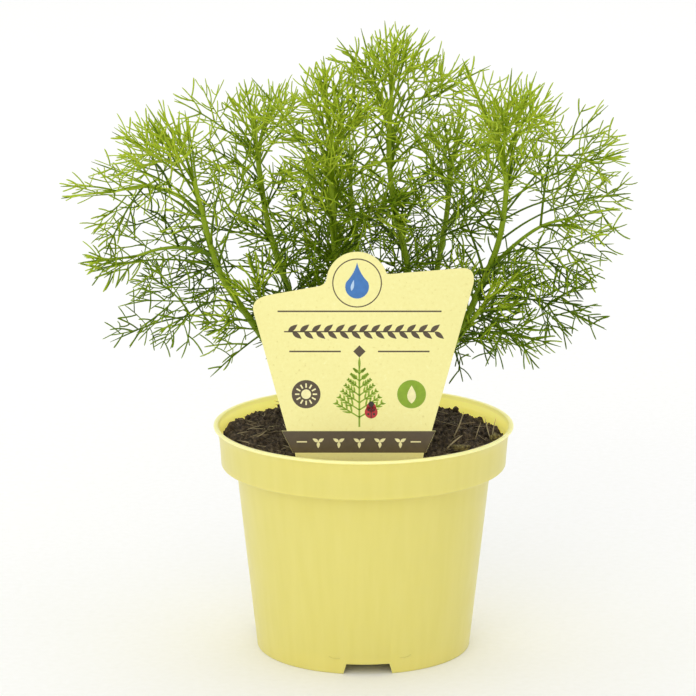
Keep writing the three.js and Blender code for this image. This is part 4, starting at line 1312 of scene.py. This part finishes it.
def extra_leaves(stem, growth, random):
    """Leaves between, tufts of small leaves in the axils, and a rosette at the stem's tip."""
    points, radius, count, bare, longest = stem
    extra, tufts, fan = growth["extra"], growth["tufts"], growth["fan"]
    knots = np.array(points, float)
    leaves = []
    angle = next(random) * 2 * math.pi
    between = round(count * extra)
    for number in range(between):
        share = (number + 0.5) / between
        angle += LEAF_TURN + 0.4 * (next(random) - 0.5)
        opening = math.radians(72 - 38 * share + 16 * (next(random) - 0.5))
        long = longest * (0.55 + 0.3 * next(random)) * (1 - 0.3 * share**3)
        sag = 0.2 * (1.15 - 0.75 * share)
        leaves.append(extra_leaf(knots, bare + (0.97 - bare) * share, opening, angle, long, sag))
    axils = round(count * tufts)
    for number in range(axils):
        at = bare + (0.98 - bare) * (number + 0.5) / axils
        angle += LEAF_TURN + 0.4 * (next(random) - 0.5)
        for part in range(3):
            opening = math.radians(16 + 12 * part + 10 * next(random))
            long = longest * (0.3 + 0.14 * next(random) + 0.06 * part)
            leaves.append(extra_leaf(knots, at, opening, angle + 0.7 * (part - 1), long, 0.05))
    for number in range(3 if radius > MAIN_STEM else 0):
        angle += LEAF_TURN
        opening = math.radians(8 + 13 * number)
        long = fan * (0.8 + 0.08 * number)
        leaves.append(extra_leaf(knots, 1 - 0.012 * number, opening, angle, long, 0.04, True))
    length = np.linalg.norm(np.diff(knots, axis=0), axis=1).sum()
    for number in range(2 if fan > 30 and radius > MAIN_STEM else 0):
        at = 0.92 - 0.06 * number
        angle += LEAF_TURN
        long = 0.6 * fan + (1 - at) * length
        leaves.append(extra_leaf(knots, at, math.radians(10 + 5 * number), angle, long, 0.03, True))
    return [leaf for leaf in leaves if leaf]


# One lobe, one pinna, one midrib and one stem are modelled straight, and bent along their places.
RIB_WIDE, RIB_THICK = 1.15, 0.9
RIB_DARKER, TIP_LIGHTER = 0.8, 0.12  # a midrib's tone is a share of its leaf's, and a lobe's rises to its tip
LOBE_RINGS = [(0, 0.8), (0.3, 0.85), (0.62, 0.95), (0.85, 1.0), (0.96, 0.75), (1, 0.3)]
PINNA_RINGS = [
    (0, 1.25), (0.15, 1.1), (0.3, 1.0), (0.45, 0.95), (0.6, 0.9), (0.75, 0.9), (0.9, 0.9), (0.98, 0.65),
    (1, 0.3),
]
RIB_RINGS = [(at / 12, 1 - 0.4 * at / 12) for at in range(12)] + [(1, 0.2)]
STEM_RINGS = [(at / 48, 1 - 0.45 * at / 48) for at in range(49)]
lobe_shape = strand_template(5, LOBE_RINGS)
pinna_shape = strand_template(5, PINNA_RINGS)
rib_shape = strand_template(6, RIB_RINGS)
stem_shape = strand_template(12, STEM_RINGS)


def along_curve(shape, knots, wide, thick, top):
    """A strand bent along a smooth curve, with its y axis kept to one side."""
    points = shape[0]
    shares, places = np.unique(points[:, 2].round(5), return_inverse=True)
    centres = np.array([curve_point(knots, share) for share in shares])
    headings = np.array([curve_heading(knots, share) for share in shares])
    across = unit(np.cross(np.asarray(top)[None], headings))
    above = np.cross(headings, across)
    section = across[places] * points[:, :1] * wide / 2
    return centres[places] + section + above[places] * points[:, 1:2] * thick / 2


# Foliage: soft green, matt, thin enough to glow. Old, low and inner lobes are dark, young tips yellow-green,
# and the leaves of shoots that stay low are darkened further by painted shade.
leaf_green = start_material("southernwood_leaf_soft_green")
age = add_node(leaf_green, "ShaderNodeAttribute", attribute_name="age").outputs["Fac"]
place = add_node(leaf_green, "ShaderNodeTexCoord").outputs["Object"]
patches = add_node(leaf_green, "ShaderNodeTexNoise", {"Vector": place, "Scale": 1 / (9 * MM), "Detail": 3.0})
shift = add_node(
    leaf_green, "ShaderNodeMapRange",
    {"Value": patches.outputs["Fac"], "From Min": 0.25, "From Max": 0.75, "To Min": -0.22, "To Max": 0.22},
)
total = add_node(leaf_green, "ShaderNodeMath", {0: age, 1: shift.outputs["Result"]}, operation="ADD")
tone = add_node(
    leaf_green, "ShaderNodeValToRGB", {"Fac": total.outputs["Value"]},
    stops=[(0.1, "#283d02"), (0.4, "#435c03"), (0.68, "#718b08"), (0.95, "#b2c634")],
)
leaf_surface = add_node(
    leaf_green, "ShaderNodeBsdfPrincipled",
    {
        "Base Color": tone.outputs["Color"], "Roughness": 0.55, "IOR": 1.42, "Specular IOR Level": 0.12,
        "Subsurface Weight": 0.2, "Subsurface Radius": (0.5, 1.0, 0.2), "Subsurface Scale": 0.5 * MM,
    },
)
add_node(leaf_green, "ShaderNodeOutputMaterial", {"Surface": leaf_surface.outputs["BSDF"]})

stem_green = start_material("southernwood_stem_ridged_green")
age = add_node(stem_green, "ShaderNodeAttribute", attribute_name="age").outputs["Fac"]
place = add_node(stem_green, "ShaderNodeTexCoord").outputs["Object"]
stretch = add_node(stem_green, "ShaderNodeMapping", {"Vector": place, "Scale": (1.0, 1.0, 0.08)}).outputs[0]
ridges = add_node(
    stem_green, "ShaderNodeTexNoise", {"Vector": stretch, "Scale": 1 / (0.6 * MM), "Detail": 2.0}
)
tone = add_node(
    stem_green, "ShaderNodeValToRGB", {"Fac": age},
    stops=[(0.0, "#4c660c"), (0.4, "#74900f"), (1.0, "#98b020")],
)
ridge_bump = add_node(
    stem_green, "ShaderNodeBump", {"Height": ridges.outputs["Fac"], "Strength": 0.6, "Distance": 0.25 * MM}
)
stem_surface = add_node(
    stem_green, "ShaderNodeBsdfPrincipled",
    {
        "Base Color": tone.outputs["Color"], "Roughness": 0.5, "IOR": 1.42, "Specular IOR Level": 0.3,
        "Normal": ridge_bump.outputs["Normal"],
    },
)
add_node(stem_green, "ShaderNodeOutputMaterial", {"Surface": stem_surface.outputs["BSDF"]})

for (name, growth), leaves in zip(SHOOTS.items(), planned):
    random = draws(growth["seed"] + FINER_SEED)
    stems = growth["stems"]
    ribs, rows = [], []
    for leaf in leaves:
        feather_leaf(ribs, rows, leaf, growth["fill"], random)
    for stem in stems:
        for leaf in extra_leaves(stem, growth, random):
            feather_leaf(ribs, rows, leaf, growth["fill"], random)
    for at, opening, angle, long in growth["sprays"]:
        knots = np.array(stems[0][0], float)
        leaf = extra_leaf(knots, at, math.radians(opening), math.radians(angle), long, SPRAY_SAG)
        if leaf:
            feather_leaf(ribs, rows, leaf, SPRAY_FILL, random)
    rib_copies = [along_curve(rib_shape, knots, RIB_WIDE, RIB_THICK, top) for knots, age, top in ribs]
    rib_ages = [RIB_DARKER * age for knots, age, top in ribs]
    groups = [(rib_shape, np.array(rib_copies) * MM + np.array(AXIS), rib_ages)]
    for shape, first_level in ((pinna_shape, True), (lobe_shape, False)):
        chosen = [row for row in rows if (row[8] == 1) == first_level]
        starts, headings, tops, longs, wides, bends, sways, ages = (
            np.array([row[part] for row in chosen]) for part in range(8)
        )
        copies = bent_copies(shape, starts, headings, tops, longs, wides, FLATNESS * wides, bends, sways)
        tones = ages[:, None] + TIP_LIGHTER * shape[0][None, :, 2]
        groups.append((shape, copies * MM + np.array(AXIS), tones))
    foliage = joined_copies(name + "_leaves", groups)
    foliage.data.materials.append(leaf_green)
    stem_copies = [
        along_curve(stem_shape, np.array(points, float), 2 * radius, 2 * radius, (0.3, 1.0, 0.0))
        for points, radius, *_ in stems
    ]
    stem_ages = [stem_shape[0][:, 2]] * len(stems)
    stalk = joined_copies(
        name + "_stem", [(stem_shape, np.array(stem_copies) * MM + np.array(AXIS), stem_ages)]
    )
    stalk.data.materials.append(stem_green)
    for piece in (foliage, stalk):
        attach(piece, "root")
    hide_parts(name)

# Floor
# A wide sheet of white photographer's paper, matt, that runs far behind the pot so that it fills the picture.

deselect()
bpy.ops.mesh.primitive_plane_add(size=8, location=(0, 0, 0))
floor = bpy.context.object
floor.name = "floor"
paper = start_material("matt_white_paper")
place = add_node(paper, "ShaderNodeTexCoord").outputs["Object"]
fleck = add_node(paper, "ShaderNodeTexNoise", {"Vector": place, "Scale": 1 / (3 * MM), "Detail": 3.0})
tone = add_node(
    paper, "ShaderNodeValToRGB", {"Fac": fleck.outputs["Fac"]}, stops=[(0.3, "#f8f8f6"), (0.7, "#fbfbfa")]
)
paper_surface = add_node(
    paper, "ShaderNodeBsdfPrincipled",
    {"Base Color": tone.outputs["Color"], "Roughness": 0.95, "Specular IOR Level": 0.2},
)
add_node(paper, "ShaderNodeOutputMaterial", {"Surface": paper_surface.outputs["BSDF"]})
floor.data.materials.append(paper)

# Light: a bright white room, a broad soft light over the pot's left front, one overhead that clears the floor
# of shadows, and a tall strip at the left that draws a soft upright gleam on the plastic.


def soft_light(name, place, aim, wide, tall, watts, tint):
    lamp = bpy.data.lights.new(name, "AREA")
    lamp.shape = "RECTANGLE"
    lamp.size, lamp.size_y = wide, tall
    lamp.energy = watts
    lamp.color = tint
    holder = bpy.data.objects.new(name, lamp)
    bpy.context.scene.collection.objects.link(holder)
    holder.location = place
    holder.rotation_euler = (Vector(aim) - Vector(place)).to_track_quat("-Z", "Y").to_euler()


soft_light("front_softbox", (-0.3, -1.35, 0.8), (0, 0, 0.1), 1.4, 0.9, 5.5, (1.0, 0.99, 0.97))
soft_light("overhead_softbox", (0.1, 0.2, 1.7), (0, 0.1, 0), 2.2, 2.2, 5.0, (1.0, 1.0, 1.0))
soft_light("side_strip", (-1.0, 0.1, 0.35), (0, 0, 0.08), 0.35, 0.7, 0.4, (1.0, 1.0, 1.0))
soft_light("background_bank", (0, 1.7, 1.9), (0, 1.5, 0), 3.2, 1.8, 14.0, (1.0, 1.0, 1.0))
room = bpy.data.worlds.new("white_room")
bpy.context.scene.world = room
room.use_nodes = True
walls = room.node_tree.nodes["Background"].inputs
walls["Color"].default_value = (1.0, 1.0, 1.0, 1.0)
walls["Strength"].default_value = 0.75

# Camera: a long lens, 1.5 m in front and half a metre up, looking down a little. Its place is in millimetres
# from the pot's axis on the floor.
LENS = 201.72
CAMERA_PLACE = (-6.216, -1511.094, 481.82)
CAMERA_TILT = 76.62
camera = bpy.data.objects.new("camera", bpy.data.cameras.new("camera"))
bpy.context.scene.collection.objects.link(camera)
camera.data.lens = LENS
camera.data.sensor_width = 36.0
camera.data.clip_end = 20.0
camera.location = AXIS + Vector(CAMERA_PLACE) * MM
camera.rotation_euler = (math.radians(CAMERA_TILT), 0, 0)
bpy.context.scene.camera = camera
bpy.context.scene.view_settings.view_transform = "Standard"
